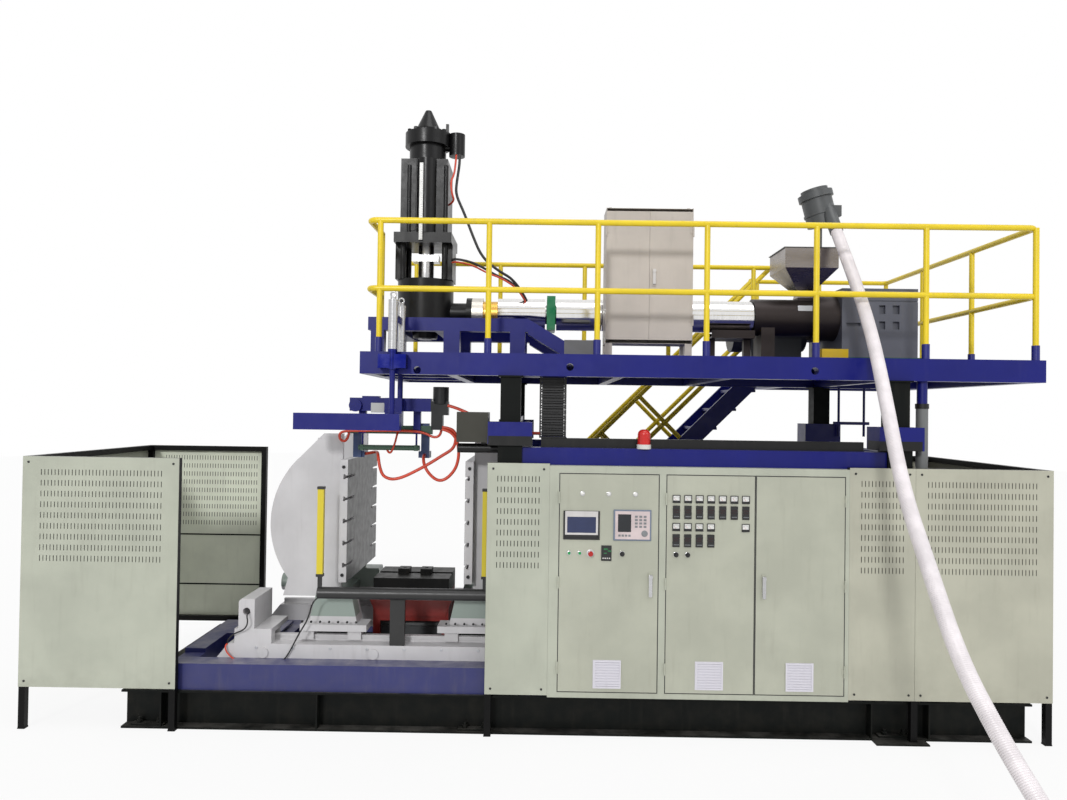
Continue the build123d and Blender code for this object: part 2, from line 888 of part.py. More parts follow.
# Control cabinet: a welded box with two openings, hinge knuckles and a mounting plate inside
wall = 3
lip = 20
frame_face = door_thickness + 2
inner_face = frame_face + 10
door_1_left = narrow_right + left_stile
door_1_right = door_1_left + door_1_width
door_2_left = door_1_right + mullion
door_3_left = door_2_left + door_2_width
door_3_right = door_3_left + door_3_width
hinge_levels = (door_bottom + 190, (door_bottom + door_top) / 2, door_top - 190)
knuckle = hinge_length / 3
leaf = 24
leaf_thickness = 2.5
back_plate = (377, 380)
device_rows = ((700, 120, 110), (1000, 75, 90), (1300, 150, 140), (1640, 110, 120))


def hinge_leaf(x, z, side):
    """A leaf on the front face beside a hinge axis, on the left for -1 and the right for 1."""
    block(tuple(sorted((x, x + side * leaf))), (behind(-leaf_thickness), behind(0)), around(z, knuckle))


with BuildPart() as control_cabinet:
    block((narrow_right, cabinet_right), (behind(0), behind(cabinet_depth)), (cabinet_bottom, cabinet_top))
    block(
        (narrow_right + wall, cabinet_right - wall),
        (behind(inner_face), behind(cabinet_depth - wall)),
        (cabinet_bottom + wall, cabinet_top - wall),
        mode=Mode.SUBTRACT,
    )
    for left, right in ((door_1_left, door_1_right), (door_2_left, door_3_right)):
        block(
            (left, right),
            (behind(-1), behind(frame_face)),
            (door_bottom - door_gap / 2, door_top + door_gap / 2),
            mode=Mode.SUBTRACT,
        )
        block(
            (left + lip, right - lip),
            (behind(frame_face - 1), behind(inner_face + 1)),
            (door_bottom + lip, door_top - lip),
            mode=Mode.SUBTRACT,
        )
    block((door_3_left - lip, door_3_left + lip), (behind(frame_face), behind(inner_face)), (door_bottom, door_top))
    for x, side in ((door_1_left, -1), (door_2_left, -1), (door_3_right, 1)):
        for z in hinge_levels:
            for middle in around(z, 2 * knuckle + 2 * touch):
                rod(
                    (x, behind(-hinge_radius), middle - knuckle / 2),
                    (x, behind(-hinge_radius), middle + knuckle / 2),
                    hinge_radius,
                )
                hinge_leaf(x, middle, side)
    block((narrow_right, cabinet_right), (behind(skid_front), behind(cabinet_depth)), (skid_height, cabinet_bottom))
finish(control_cabinet.part, "control_cabinet")

with BuildPart() as cabinet_backplates:
    for left, right in ((door_1_left, door_1_right), (door_2_left, door_3_left - lip), (door_3_left, door_3_right)):
        block((left, right), (behind(back_plate[0]), behind(back_plate[1])), (door_bottom + 40, door_top - 40))
        for x in (left + 40, right - 40):
            for z in (door_bottom + 90, door_top - 90):
                block(around(x, 20), (behind(back_plate[1]), behind(cabinet_depth - wall)), around(z, 20))
        for z, pitch, height in device_rows:
            block((left + 30, right - 30), (behind(back_plate[0] - 8), behind(back_plate[0])), around(z, 35))
            with BuildSketch(facing(behind(back_plate[0] - 8))) as devices:
                with Locations(((left + right) / 2, z)):
                    with GridLocations(pitch, 1, int((right - left - 120) / pitch), 1):
                        Rectangle(pitch - 6, height)
            extrude(devices.sketch, amount=82)
finish(cabinet_backplates.part, "cabinet_backplates")

# Cabinet doors, each with its hinge knuckles and a louvred vent
vent_rim = 14
vent_proud = 7
louvre_count = 9
louvre = 12
escutcheon = (34, 195, 9)


def door_leaf(left, right, hinge_x, side):
    """A door with knuckles at its hinge edge and a square vent low in its middle."""
    block(
        (left + door_gap / 2, right - door_gap / 2),
        (behind(0), behind(door_thickness)),
        (door_bottom, door_top),
    )
    for z in hinge_levels:
        rod(
            (hinge_x, behind(-hinge_radius), z - knuckle / 2),
            (hinge_x, behind(-hinge_radius), z + knuckle / 2),
            hinge_radius,
        )
        hinge_leaf(hinge_x, z, side)
    middle = (left + right) / 2
    inner = vent_size - 2 * vent_rim
    block(around(middle, vent_size), (behind(-vent_proud), behind(0)), around(vent_z, vent_size))
    block(around(middle, inner), (behind(-vent_proud - 1), behind(0)), around(vent_z, inner), mode=Mode.SUBTRACT)
    for number in range(louvre_count):
        level = vent_z + (number - (louvre_count - 1) / 2) * inner / louvre_count
        block(around(middle, inner + 2), (behind(2 - vent_proud), behind(0)), around(level, louvre))


def door_escutcheon(x):
    """The plate on a door that carries its swing handle."""
    block(around(x, escutcheon[0]), (behind(-escutcheon[2]), behind(0)), around(handle_z, escutcheon[1]))


handle_1_x = door_1_right - handle_inset
handle_3_x = door_3_left + handle_inset
with BuildPart() as door_1:
    door_leaf(door_1_left, door_1_right, door_1_left, 1)
    door_escutcheon(handle_1_x)
finish(door_1.part, "door_1")
with BuildPart() as door_2:
    door_leaf(door_2_left, door_3_left, door_2_left, 1)
finish(door_2.part, "door_2")
with BuildPart() as door_3:
    door_leaf(door_3_left, door_3_right, door_3_right, -1)
    door_escutcheon(handle_3_x)
finish(door_3.part, "door_3")

handle_seat = -escutcheon[2] - touch
handle_pivot = 68
for x, name in ((handle_1_x, "handle_1"), (handle_3_x, "handle_3")):
    with BuildPart() as lever:
        block(around(x, handle_width), (behind(handle_seat - handle_depth), behind(handle_seat)), around(handle_z, handle_height))
        rod(
            (x, behind(handle_seat), handle_z + handle_pivot),
            (x, behind(handle_seat - handle_depth - 4), handle_z + handle_pivot),
            0.62 * handle_width,
        )
        fillet(lever.edges().filter_by(Axis.Y).group_by(Axis.Z)[0], radius=handle_width / 3)
    finish(lever.part, name)

# Instruments on the doors: display, controllers, meters, lamps and the buttons' collars
lamp_z = 1900
lamp_places = (365, 571, 778)
lamp_radius = 15
display = (360, 1653.5, 284, 225)
big_controller = (755.5, 1659.5, 295, 241)
black_meter = (556, 1440, 80, 120)
button_places = (266, 349)
estop_x = 432
selector_x = 678
collar_radius = 17
collar_proud = 6
button_radius = 11
button_proud = 8
button_travel = 4
estop_collar = 30
estop_radius = 20
knob_radius = 19
knob_proud = 20
meter_rows = ((1869, 62, (0, 1, 2, 3, 4, 5, 6)), (1651, 62, (0, 1, 2, 3, 6)))
controller_rows = ((1766, 56, 104, (0, 1, 2, 3, 4, 5, 6)), (1546, 56, 100, (0, 1, 2, 3)))
meter_left = 1097
knob_places = (meter_left, meter_left + meter_pitch)
device_proud = 9


def device(x, z, width, height, bezel):
    """A panel instrument with a frame around its sunk face."""
    block(around(x, width), (behind(-device_proud), behind(0)), around(z, height))
    block(
        around(x, width - 2 * bezel),
        (behind(-device_proud - 1), behind(2 - device_proud)),
        around(z, height - 2 * bezel),
        mode=Mode.SUBTRACT,
    )


def collar(x, z, radius, proud, stem=0):
    """A round collar on a door around a lamp, knob or push button, bored for the button's stem."""
    rod((x, behind(0), z), (x, behind(-proud), z), radius)
    if stem:
        rod((x, behind(0), z), (x, behind(-proud - 1), z), stem + running, mode=Mode.SUBTRACT)


with BuildPart() as door_1_instruments:
    for x in lamp_places:
        collar(x, lamp_z, lamp_radius + 3, collar_proud)
        rod((x, behind(-collar_proud), lamp_z), (x, behind(-3 * collar_proud), lamp_z), lamp_radius)
    device(*display, 18)
    device(*big_controller, 16)
    device(*black_meter, 8)
    for x in button_places:
        collar(x, button_z, collar_radius, collar_proud, button_radius)
    collar(estop_x, button_z, estop_collar, collar_proud, estop_radius / 2)
    collar(selector_x, button_z, collar_radius + 6, collar_proud)
finish(door_1_instruments.part, "door_1_instruments")

with BuildPart() as door_2_instruments:
    for z, size, numbers in meter_rows:
        for number in numbers:
            device(meter_left + number * meter_pitch, z, size, size, 5)
    for z, width, height, numbers in controller_rows:
        for number in numbers:
            device(meter_left + number * meter_pitch, z, width, height, 5)
    for x in knob_places:
        collar(x, button_z, knob_radius + 5, collar_proud)
finish(door_2_instruments.part, "door_2_instruments")

for x, name in zip(button_places, ("start_button", "stop_button")):
    with BuildPart() as button:
        rod(
            (x, behind(-button_travel - touch), button_z),
            (x, behind(-collar_proud - button_proud), button_z),
            button_radius,
        )
    finish(button.part, name)
with BuildPart() as estop_button:
    rod((estop_x, behind(-button_travel - touch), button_z), (estop_x, behind(-24), button_z), estop_radius / 2)
    rod((estop_x, behind(-24), button_z), (estop_x, behind(-front_reach), button_z), estop_radius)
    fillet(estop_button.faces().sort_by(Axis.Y)[0].edges(), radius=6)
finish(estop_button.part, "estop_button")
for x, door, name in (
    (selector_x, 1, "selector_knob"),
    (knob_places[0], 2, "knob_a"),
    (knob_places[1], 2, "knob_b"),
):
    with BuildPart() as knob:
        rod((x, behind(-collar_proud - touch), button_z), (x, behind(-collar_proud - knob_proud / 2), button_z), knob_radius)
        block(
            around(x, knob_radius / 2),
            (behind(-collar_proud - knob_proud), behind(-collar_proud - knob_proud / 2)),
            around(button_z, 2 * knob_radius - 4),
        )
    finish(knob.part, name)

# Platform: a welded box frame with deck plates, an opening for the head and the rear landing
head_x = -1030
deck_bottom = deck_top - beam_height
beam_top_z = deck_top - deck_plate
opening = 600
opening_x = around(head_x, opening)
opening_y = around(mould_y, opening)
beam_hole = 30
beam_holes = ((-958, 2852), (258, 2892), (2200, 2887))
cross_beam = 80
grip_front_y = 30
grip_rear_y = 400
grip_sleeve = 38
cable_rods = (3000, 3250)
cap_plate = 12
cable_rod_y = column_rear - 165
with BuildPart() as platform_frame:
    for y in ((platform_front, platform_front + beam_depth), (platform_rear - beam_depth, platform_rear)):
        block((platform_left, half_length), (behind(y[0]), behind(y[1])), (deck_bottom, beam_top_z))
    for x in ((platform_left, platform_left + beam_depth), (half_length - beam_depth, half_length)):
        block(x, (behind(platform_front), behind(platform_rear)), (deck_bottom, beam_top_z))
    for x in ((landing_left, landing_left + beam_depth), (half_length - beam_depth, half_length)):
        block(x, (behind(platform_rear), behind(landing_rear)), (deck_bottom, beam_top_z))
    block((landing_left, half_length), (behind(landing_rear - beam_depth), behind(landing_rear)), (deck_bottom, beam_top_z))
    for x in (opening_x[1] + cross_beam / 2, column_left, 660, 1530, column_right):
        block(around(x, cross_beam), (behind(platform_front), behind(platform_rear)), (deck_bottom, beam_top_z))
    for y in (opening_y[0] - cross_beam / 2, opening_y[1] + cross_beam / 2):
        block((platform_left, opening_x[1] + cross_beam), around(behind(y), cross_beam), (deck_bottom, beam_top_z))
    for x, z in beam_holes:
        rod(
            (x, behind(platform_front - 1), z),
            (x, behind(platform_front + beam_depth + 1), z),
            beam_hole,
            mode=Mode.SUBTRACT,
        )
    rod(
        (duct_x, behind(duct_y), duct_upper[1]),
        (duct_x, behind(duct_y), deck_bottom),
        duct_upper[0],
        bore=duct_upper[0] - 2,
    )
    for x in cable_rods:
        rod((x, behind(cable_rod_y), 2330), (x, behind(cable_rod_y), deck_bottom), 12)
    block((cable_rods[0] - 50, cable_rods[1] + 50), around(behind(cable_rod_y), 30), (2445, 2475))
    block((column_right, cable_rods[1] + 50), around(behind(cable_rod_y), 60), (deck_bottom - cap_plate, deck_bottom))
    block((column_left, carrier[0][1]), (behind(carrier[1][0]), behind(carrier[1][1])), (deck_bottom, deck_bottom + cap_plate))
finish(platform_frame.part, "platform_frame")

with BuildPart() as deck_plates:
    block((platform_left, half_length), (behind(platform_front), behind(platform_rear)), (beam_top_z, deck_top))
    block((landing_left, half_length), (behind(platform_rear), behind(landing_rear)), (beam_top_z, deck_top))
    block(opening_x, (behind(opening_y[0]), behind(opening_y[1])), (beam_top_z - 1, deck_top + 1), mode=Mode.SUBTRACT)
    rod(
        (grip_x, behind(grip_rear_y), beam_top_z - 1),
        (grip_x, behind(grip_rear_y), deck_top + 1),
        grip_sleeve + touch,
        mode=Mode.SUBTRACT,
    )
finish(deck_plates.part, "deck_plates")

# Lifting columns: square posts that slide in the outer columns, with a cap plate under the deck
column_reach = 1200
with BuildPart() as lift_columns:
    for x in (column_left, column_right):
        for y in (column_front, column_rear):
            block(around(x, column_size), around(behind(y), column_size), (column_reach, deck_bottom - cap_plate))
            block(around(x, 1.25 * column_size), around(behind(y), 1.25 * column_size), (deck_bottom - cap_plate, deck_bottom))
finish(lift_columns.part, "lift_columns")

# Cable carrier between the lower frame and the underside of the deck
with BuildPart() as cable_carrier:
    block(carrier[0], (behind(carrier[1][0]), behind(carrier[1][1])), (carrier_bottom, deck_bottom))
    block(
        (carrier[0][0] + carrier_wall, carrier[0][1] - carrier_wall),
        (behind(carrier[1][0] + carrier_wall), behind(carrier[1][1] - carrier_wall)),
        (carrier_bottom + carrier_wall, deck_bottom - carrier_wall),
        mode=Mode.SUBTRACT,
    )
finish(cable_carrier.part, "cable_carrier")

# Handrails: tube rails bent round the corners, posts and sockets on the deck
rail_y = platform_front + socket_radius + 2
rear_rail_y = platform_rear - socket_radius
landing_rail_y = landing_rear - socket_radius
rail_left = -1360
rail_right = post_left + (post_count - 1) * post_pitch
rail_end_y = 650
rail_bend = 60
stair_front = 2100
stair_rear = stair_front + stair_width
stair_rail_ys = (stair_front + stringer_thickness / 2, stair_rear - stringer_thickness / 2)
stair_rail_end = 2400
stair_top_x = 2205
stair_post_places = (-620, 200, 1100, 1490)
stair_post_length = 620
post_radius = rail_radius - 1
toe_place = ((2304, 2516), (240, 380), 80)


def rail_run(start, end):
    """A straight rail between two corners, its ends clear of the bends."""
    run = (Vector(*end) - Vector(*start)).normalized()
    rod(tuple(Vector(*start) + run * (rail_bend + touch)), tuple(Vector(*end) - run * (rail_bend + touch)), rail_radius)


def rail_corner(before, corner, after):
    """A quarter bend between two rails."""
    into = (Vector(*corner) - Vector(*before)).normalized()
    out_of = (Vector(*after) - Vector(*corner)).normalized()
    first = Vector(*corner) - into * rail_bend
    middle = Vector(*corner) + (out_of - into) * (rail_bend * (1 - math.sqrt(0.5)))
    last = Vector(*corner) + out_of * rail_bend
    with BuildLine() as path:
        ThreePointArc(first, middle, last)
    with BuildSketch(Plane(origin=first, z_dir=into)) as section:
        Circle(rail_radius)
    sweep(section.sketch, path=path.line)


def upright(x, y, radius):
    """A post from the deck to the top rail in a socket."""
    rod((x, behind(y), deck_top), (x, behind(y), rail_top), radius)
    rod((x, behind(y), deck_top), (x, behind(y), deck_top + socket_height), socket_radius)


def stair_rail(y, height, low, radius, mode=Mode.ADD):
    """A rail along one side of the stairs."""
    rod((low, behind(y), low + height - stair_rail_end), (stair_rail_end, behind(y), height), radius, mode=mode)


front_posts = [(post_left + number * post_pitch, rail_y) for number in range(post_count - 1)]
rear_posts = [(post_left + number * post_pitch, rear_rail_y) for number in range(5)]
side_posts = [(rail_left, rail_end_y), (rail_right, 1080), (rail_right, rear_rail_y)]
landing_posts = [(landing_left + 40, landing_rail_y), (3200, landing_rail_y)]
corner_posts = [(rail_right, rail_y), (rail_right, landing_rail_y)]
rail_levels = (rail_top, rail_middle)
stair_lows = ((rail_top, -560), (rail_middle, -330))
with BuildPart() as rails:
    for x, y in corner_posts:
        upright(x, y, post_radius)
    for z in rail_levels:
        corners = (
            (rail_left, behind(rail_end_y + rail_bend), z),
            (rail_left, behind(rail_y), z),
            (rail_right, behind(rail_y), z),
            (rail_right, behind(landing_rail_y), z),
            (stair_rail_end, behind(landing_rail_y), z),
            (stair_rail_end, behind(stair_rail_ys[1]), z),
        )
        for start, end in zip(corners, corners[1:-1]):
            rail_run(start, end)
        for before, corner, after in zip(corners, corners[1:], corners[2:]):
            rail_corner(before, corner, after)
        rod((rail_left, behind(rear_rail_y), z), (stair_rail_end, behind(rear_rail_y), z), rail_radius)
    for y in stair_rail_ys:
        for height, low in stair_lows:
            stair_rail(y, height, low, rail_radius)
with BuildPart() as posts:
    for x, y in front_posts + rear_posts + side_posts + landing_posts:
        upright(x, y, post_radius)
    for z in rail_levels:
        for y in (rail_y, rear_rail_y, landing_rail_y):
            rod(
                (rail_left - 60, behind(y), z),
                (rail_right + 60, behind(y), z),
                rail_radius + touch,
                mode=Mode.SUBTRACT,
            )
        for x in (rail_left, rail_right):
            rod(
                (x, behind(rail_y + 50), z),
                (x, behind(landing_rail_y - 50), z),
                rail_radius + touch,
                mode=Mode.SUBTRACT,
            )
with BuildPart() as slope_posts:
    for y in stair_rail_ys:
        for x in stair_post_places:
            reach = stair_post_length / math.sqrt(2)
            foot = x + deck_top - stair_top_x
            rod((x, behind(y), foot), (x - reach, behind(y), foot + reach), post_radius)
        for height, low in stair_lows:
            stair_rail(y, height, low - 200, rail_radius + touch, Mode.SUBTRACT)
with BuildPart() as toe_box:
    block(toe_place[0], (behind(toe_place[1][0]), behind(toe_place[1][1])), (deck_top, deck_top + toe_place[2]))
rail_solids = [*rails.part.solids(), *posts.part.solids(), *slope_posts.part.solids(), toe_box.part.solid()]
finish(Compound(children=rail_solids), "handrails")


# Stairs behind the platform: two stringers with treads between them
foot_clearance = 10
drop = stringer_height / math.sin(math.radians(stair_slope))
rise_count = 15
rise = deck_top / rise_count
tread_depth = 250
tread_thickness = 28
with BuildPart() as stairs:
    for y in (stair_front, stair_rear - stringer_thickness):
        plate(
            facing(behind(y + stringer_thickness)),
            (
                (stair_top_x - deck_top + foot_clearance, foot_clearance),
                (stair_top_x, deck_top),
                (landing_left, deck_top),
                (landing_left, landing_left - stair_top_x - drop + deck_top - 100),
                (landing_left - 100, landing_left - stair_top_x - drop + deck_top - 100),
                (stair_top_x + drop - deck_top + foot_clearance, foot_clearance),
            ),
            stringer_thickness,
        )
    for number in range(1, rise_count):
        level = number * rise
        front = stair_top_x - deck_top + level + 25
        block(
            (front, front + tread_depth),
            (behind(stair_front + stringer_thickness), behind(stair_rear - stringer_thickness)),
            (level - tread_thickness, level),
        )
finish(stairs.part, "stairs")

# Head stand: two square tube rails on posts, a brace at the right end and cross tubes under the head
stand_left = -1430
stand_right = -86
stand_bottom = stand_top - stand_tube
brace_end = 447
stand_posts = ((-1406, -1296), (-794, -659), (-236, -109))
stand_cross = ((-1290, -1180), (-880, -770))
terminal_box = ((226, 480), (640, 780), 160)
with BuildPart() as head_stand:
    for y in ((stand_front, stand_front + stand_tube), (stand_rear - stand_tube, stand_rear)):
        block((stand_left, stand_right), (behind(y[0]), behind(y[1])), (stand_bottom, stand_top))
        for x in stand_posts:
            block(x, (behind(y[0]), behind(y[1])), (deck_top, stand_bottom))
        plate(
            facing(behind(y[1])),
            (
                (stand_right, stand_top),
                (brace_end, deck_top),
                (brace_end - 2 * stand_tube, deck_top),
                (stand_right, stand_bottom - 20),
            ),
            stand_tube,
        )
    for x in stand_cross:
        block(x, (behind(stand_front + stand_tube), behind(stand_rear - stand_tube)), (stand_bottom, stand_top))
    block(
        terminal_box[0],
        (behind(terminal_box[1][0]), behind(terminal_box[1][1])),
        (deck_top, deck_top + terminal_box[2]),
    )
finish(head_stand.part, "head_stand")

# Accumulator head: barrel, window rods, flange plate, column block, cylinder, bolted cap and tip
base_top_z = stand_top + head_base_height
window_top = base_top_z + window_height
flange_top = window_top + flange_plate
head_y = mould_y
piston_bottom = 3520
piston_top = 4560
ring_height = 34
neck_end = -600
neck_radius = 95
rod_radius = 28
rod_offset = 185
cylinder_top_radius = 165
die_top = stand_top
die_height = 130
die_bore = mandrel_radius + running
with BuildPart() as head_body:
    rod((head_x, behind(head_y), stand_top), (head_x, behind(head_y), base_top_z), head_radius)
    rod((head_x, behind(head_y), stand_top), (head_x, behind(head_y), stand_top + ring_height), head_radius + 12)
    rod((head_x, behind(head_y), axis_z), (neck_end, behind(head_y), axis_z), neck_radius)
    rod((neck_end - 50, behind(head_y), axis_z), (neck_end, behind(head_y), axis_z), 1.5 * neck_radius)
    with BuildSketch(Plane.XY.offset(stand_top)) as die:
        with Locations((head_x, behind(head_y))):
            Circle(die_radius)
    extrude(die.sketch, amount=-die_height, taper=9)
    rod(
        (head_x, behind(head_y), piston_bottom - piston_stroke - 20),
        (head_x, behind(head_y), base_top_z + 1),
        piston_bore,
        mode=Mode.SUBTRACT,
    )
    rod(
        (head_x, behind(head_y), stand_top - die_height - 1),
        (head_x, behind(head_y), piston_bottom - piston_stroke - 19),
        die_bore,
        mode=Mode.SUBTRACT,
    )
finish(head_body.part, "head_body")

scale_x = around(-1125, 45)
side_plate = (56, 300)
shaft_case = (22, 95, 40)
tie_pipes = (-1160, -835)
tie_pipe_radius = 20
cap_ring = (150, 30)
tip_radii = (118, 28)
pump_x = -765
pump_levels = (4850, 5050)
pump_radius_head = 72
pump_pipe = (4930, 34)
ear_x = -855
with BuildPart() as head_tower:
    tower_front = head_y - column_block / 2
    block(scale_x, (behind(tower_front - 8), behind(tower_front)), (flange_top + 20, column_block_top))
    for x in around(head_x, 2 * rod_offset):
        for y in around(head_y, 2 * rod_offset * 0.85):
            rod((x, behind(y), base_top_z), (x, behind(y), window_top), rod_radius * 0.9)
    for x in around(head_x, flange_size - side_plate[0]):
        block(around(x, side_plate[0]), around(behind(head_y), side_plate[1]), (base_top_z, window_top))
    block(around(head_x, flange_size), around(behind(head_y), flange_size), (window_top, flange_top))
    block(around(head_x, column_block), around(behind(head_y), column_block), (flange_top, column_block_top))
    rod(
        (head_x + shaft_case[0], behind(tower_front + shaft_case[2]), flange_top),
        (head_x + shaft_case[0], behind(tower_front + shaft_case[2]), column_block_top),
        shaft_case[1],
    )
    for x in tie_pipes:
        rod((x, behind(tower_front), flange_top), (x, behind(tower_front), column_block_top - 60), tie_pipe_radius)
    rod((head_x, behind(head_y), column_block_top), (head_x, behind(head_y), cap_bottom), cylinder_top_radius)
    rod((head_x, behind(head_y), cap_bottom), (head_x, behind(head_y), cap_bottom + cap_height), cap_radius)
    ring_top = cap_bottom + cap_height + cap_ring[1]
    rod((head_x, behind(head_y), cap_bottom + cap_height), (head_x, behind(head_y), ring_top), cap_ring[0])
    with BuildSketch(Plane.XY.offset(ring_top)) as cone:
        with Locations((head_x, behind(head_y))):
            Circle(tip_radii[0])
    tip_slope = math.degrees(math.atan((tip_radii[0] - tip_radii[1]) / (tip_top - ring_top)))
    extrude(cone.sketch, amount=tip_top - ring_top, taper=tip_slope)
    with BuildSketch(Plane.XY.offset(cap_bottom + cap_height)) as nuts:
        with Locations((head_x, behind(head_y))):
            with PolarLocations(0.87 * cap_radius, 12):
                RegularPolygon(20, 6)
    extrude(nuts.sketch, amount=24)
    block(around(ear_x, 26), around(behind(head_y), 30), (cap_bottom + cap_height, cap_bottom + cap_height + 100))
    rod((pump_x, behind(head_y), pump_levels[0]), (pump_x, behind(head_y), pump_levels[1]), pump_radius_head)
    rod((head_x, behind(head_y), pump_pipe[0]), (pump_x, behind(head_y), pump_pipe[0]), pump_pipe[1])
    rod(
        (head_x, behind(head_y), window_top - 1),
        (head_x, behind(head_y), column_block_top - 100),
        piston_bore,
        mode=Mode.SUBTRACT,
    )
finish(head_tower.part, "head_tower")

with BuildPart() as head_piston:
    rod((head_x, behind(head_y), piston_bottom), (head_x, behind(head_y), piston_top), piston_radius)
    block(
        around(head_x, 3.4 * piston_radius),
        around(behind(head_y), 2 * piston_radius),
        (base_top_z + 175, base_top_z + 235),
    )
finish(head_piston.part, "head_piston")

with BuildPart() as die_mandrel:
    rod(
        (head_x, behind(head_y), stand_top - die_height - 8),
        (head_x, behind(head_y), stand_top - die_height + 90),
        mandrel_radius,
    )
    rod(
        (head_x, behind(head_y), stand_top - die_height + 90),
        (head_x, behind(head_y), stand_top + 20),
        mandrel_radius / 2,
    )
finish(die_mandrel.part, "die_mandrel")

# Extruder: barrel and screw, round heater covers, feed housing, lantern and gearbox
collar_end = -500
copper_end = -370
cover_runs = ((-365, 60), (160, 566), (572, 1245), (1251, feed_left - 6))
band = (75, 150)
foot_z = deck_top
screw_start = -540
with BuildPart() as extruder_barrel:
    rod((neck_end + touch, behind(head_y), axis_z), (feed_left, behind(head_y), axis_z), barrel_radius)
    rod((neck_end + touch, behind(head_y), axis_z), (collar_end, behind(head_y), axis_z), cover_radius)
    rod((collar_end, behind(head_y), axis_z), (copper_end, behind(head_y), axis_z), 0.8 * cover_radius)
    block(band, around(behind(head_y), 2 * cover_radius + 20), around(axis_z, 2 * cover_radius + 20))
    rod(
        (screw_start - 20, behind(head_y), axis_z),
        (feed_left + 1, behind(head_y), axis_z),
        barrel_bore,
        mode=Mode.SUBTRACT,
    )
finish(extruder_barrel.part, "extruder_barrel")

with BuildPart() as barrel_covers:
    for start, end in cover_runs:
        rod((start, behind(head_y), axis_z), (end, behind(head_y), axis_z), cover_radius, bore=cover_radius - cover_sheet)
        for edge in (start, end - cover_sheet):
            rod(
                (edge, behind(head_y), axis_z),
                (edge + cover_sheet, behind(head_y), axis_z),
                cover_radius,
                bore=barrel_radius + touch,
            )
finish(barrel_covers.part, "barrel_covers")

screw_end = feed_right + 120
with BuildPart() as extruder_screw:
    rod((screw_start, behind(head_y), axis_z), (screw_end, behind(head_y), axis_z), screw_radius)
finish(extruder_screw.part, "extruder_screw")

lantern_bore = 150
motor_y = 1650
motor_z = 3330
motor_radius = 170
motor_run = (2000, 2600)
coupling_left = 2612
rotor_radius = 30
with BuildPart() as feed_housing:
    rod((feed_left + touch, behind(head_y), axis_z), (feed_right, behind(head_y), axis_z), feed_radius)
    rod((feed_right, behind(head_y), axis_z), (lantern_right, behind(head_y), axis_z), lantern_radius)
    rod(
        (feed_right + 20, behind(head_y), axis_z),
        (lantern_right + 1, behind(head_y), axis_z),
        lantern_bore,
        mode=Mode.SUBTRACT,
    )
    block(around(hopper_x, 1.06 * hopper_throat), around(behind(head_y), 1.06 * hopper_throat), (axis_z, axis_z + feed_radius + 12))
    block((feed_left + 60, feed_left + 180), around(behind(head_y), 260), (foot_z, axis_z))
    block((1540, 1920), around(behind(head_y), 360), (3210, 3225))
    for y in around(head_y, 348):
        block((1540, 1920), around(behind(y), 12), (3225, 3280))
    for x in (1570, 1890):
        block(around(x, 60), around(behind(head_y), 60), (foot_z, 3210))
    rod(
        (feed_left, behind(head_y), axis_z),
        (feed_right + 21, behind(head_y), axis_z),
        barrel_bore,
        mode=Mode.SUBTRACT,
    )
    block(
        around(hopper_x, hopper_throat - 6),
        around(behind(head_y), hopper_throat - 6),
        (axis_z, axis_z + feed_radius + 13),
        mode=Mode.SUBTRACT,
    )
finish(feed_housing.part, "feed_housing")

gear_side = (2720, 3240)
gear_windows = (((2996, 3049), (3113, 3173)), ((3299, 3369), (3435, 3511)))
gear_window_depth = 34
gear_groove = ((2900, gearbox_right), (3542, 3552), 8)
gear_pocket = ((2709, 2833), (3322, 3354), 30)
with BuildPart() as gearbox:
    block((lantern_right, gearbox_right), around(behind(head_y), gearbox_depth), (gearbox_bottom, gearbox_top))
    gear_front = head_y - gearbox_depth / 2
    for x, z, depth in (
        *((x, z, gear_window_depth) for x in gear_windows[0] for z in gear_windows[1]),
        gear_groove,
        gear_pocket,
    ):
        block(x, (behind(gear_front - 1), behind(gear_front + depth)), z, mode=Mode.SUBTRACT)
    block(gear_side, (behind(head_y + gearbox_depth / 2), behind(motor_y + 150)), (gearbox_bottom + 60, 3520))
    block(
        (lantern_right - 40, gearbox_right + 40),
        (behind(head_y - gearbox_depth / 2 - 30), behind(motor_y + 150)),
        (deck_top, gearbox_bottom),
    )
    rod(
        (lantern_right - 1, behind(head_y), axis_z),
        (lantern_right + 60, behind(head_y), axis_z),
        90,
        mode=Mode.SUBTRACT,
    )
finish(gearbox.part, "gearbox")

with BuildPart() as main_motor:
    rod((motor_run[0], behind(motor_y), motor_z), (motor_run[1], behind(motor_y), motor_z), motor_radius)
    rod((motor_run[0] - 110, behind(motor_y), motor_z), (motor_run[0], behind(motor_y), motor_z), motor_radius + 12)
    block((motor_run[0] + 60, motor_run[1] - 60), around(behind(motor_y), 2 * motor_radius), (deck_top, motor_z - 60))
    block((2150, 2350), around(behind(motor_y), 180), (motor_z + 100, motor_z + motor_radius + 70))
    rod(
        (motor_run[1] - 200, behind(motor_y), motor_z),
        (motor_run[1] + 1, behind(motor_y), motor_z),
        rotor_radius + running,
        mode=Mode.SUBTRACT,
    )
finish(main_motor.part, "main_motor")

with BuildPart() as motor_rotor:
    rod((motor_run[1] - 190, behind(motor_y), motor_z), (gear_side[0] - touch, behind(motor_y), motor_z), rotor_radius)
    rod((coupling_left, behind(motor_y), motor_z), (coupling_left + 90, behind(motor_y), motor_z), 2.6 * rotor_radius)
finish(motor_rotor.part, "motor_rotor")

# Hopper with a throat pipe and a lid, and the feeder head on a spout above it
hopper_sheet = 3
hopper_bend = hopper_top - hopper_straight
throat_bottom = axis_z + feed_radius + 12
lid = 6
spout_radius = 18
spout_x = 2508
spout_y = 900


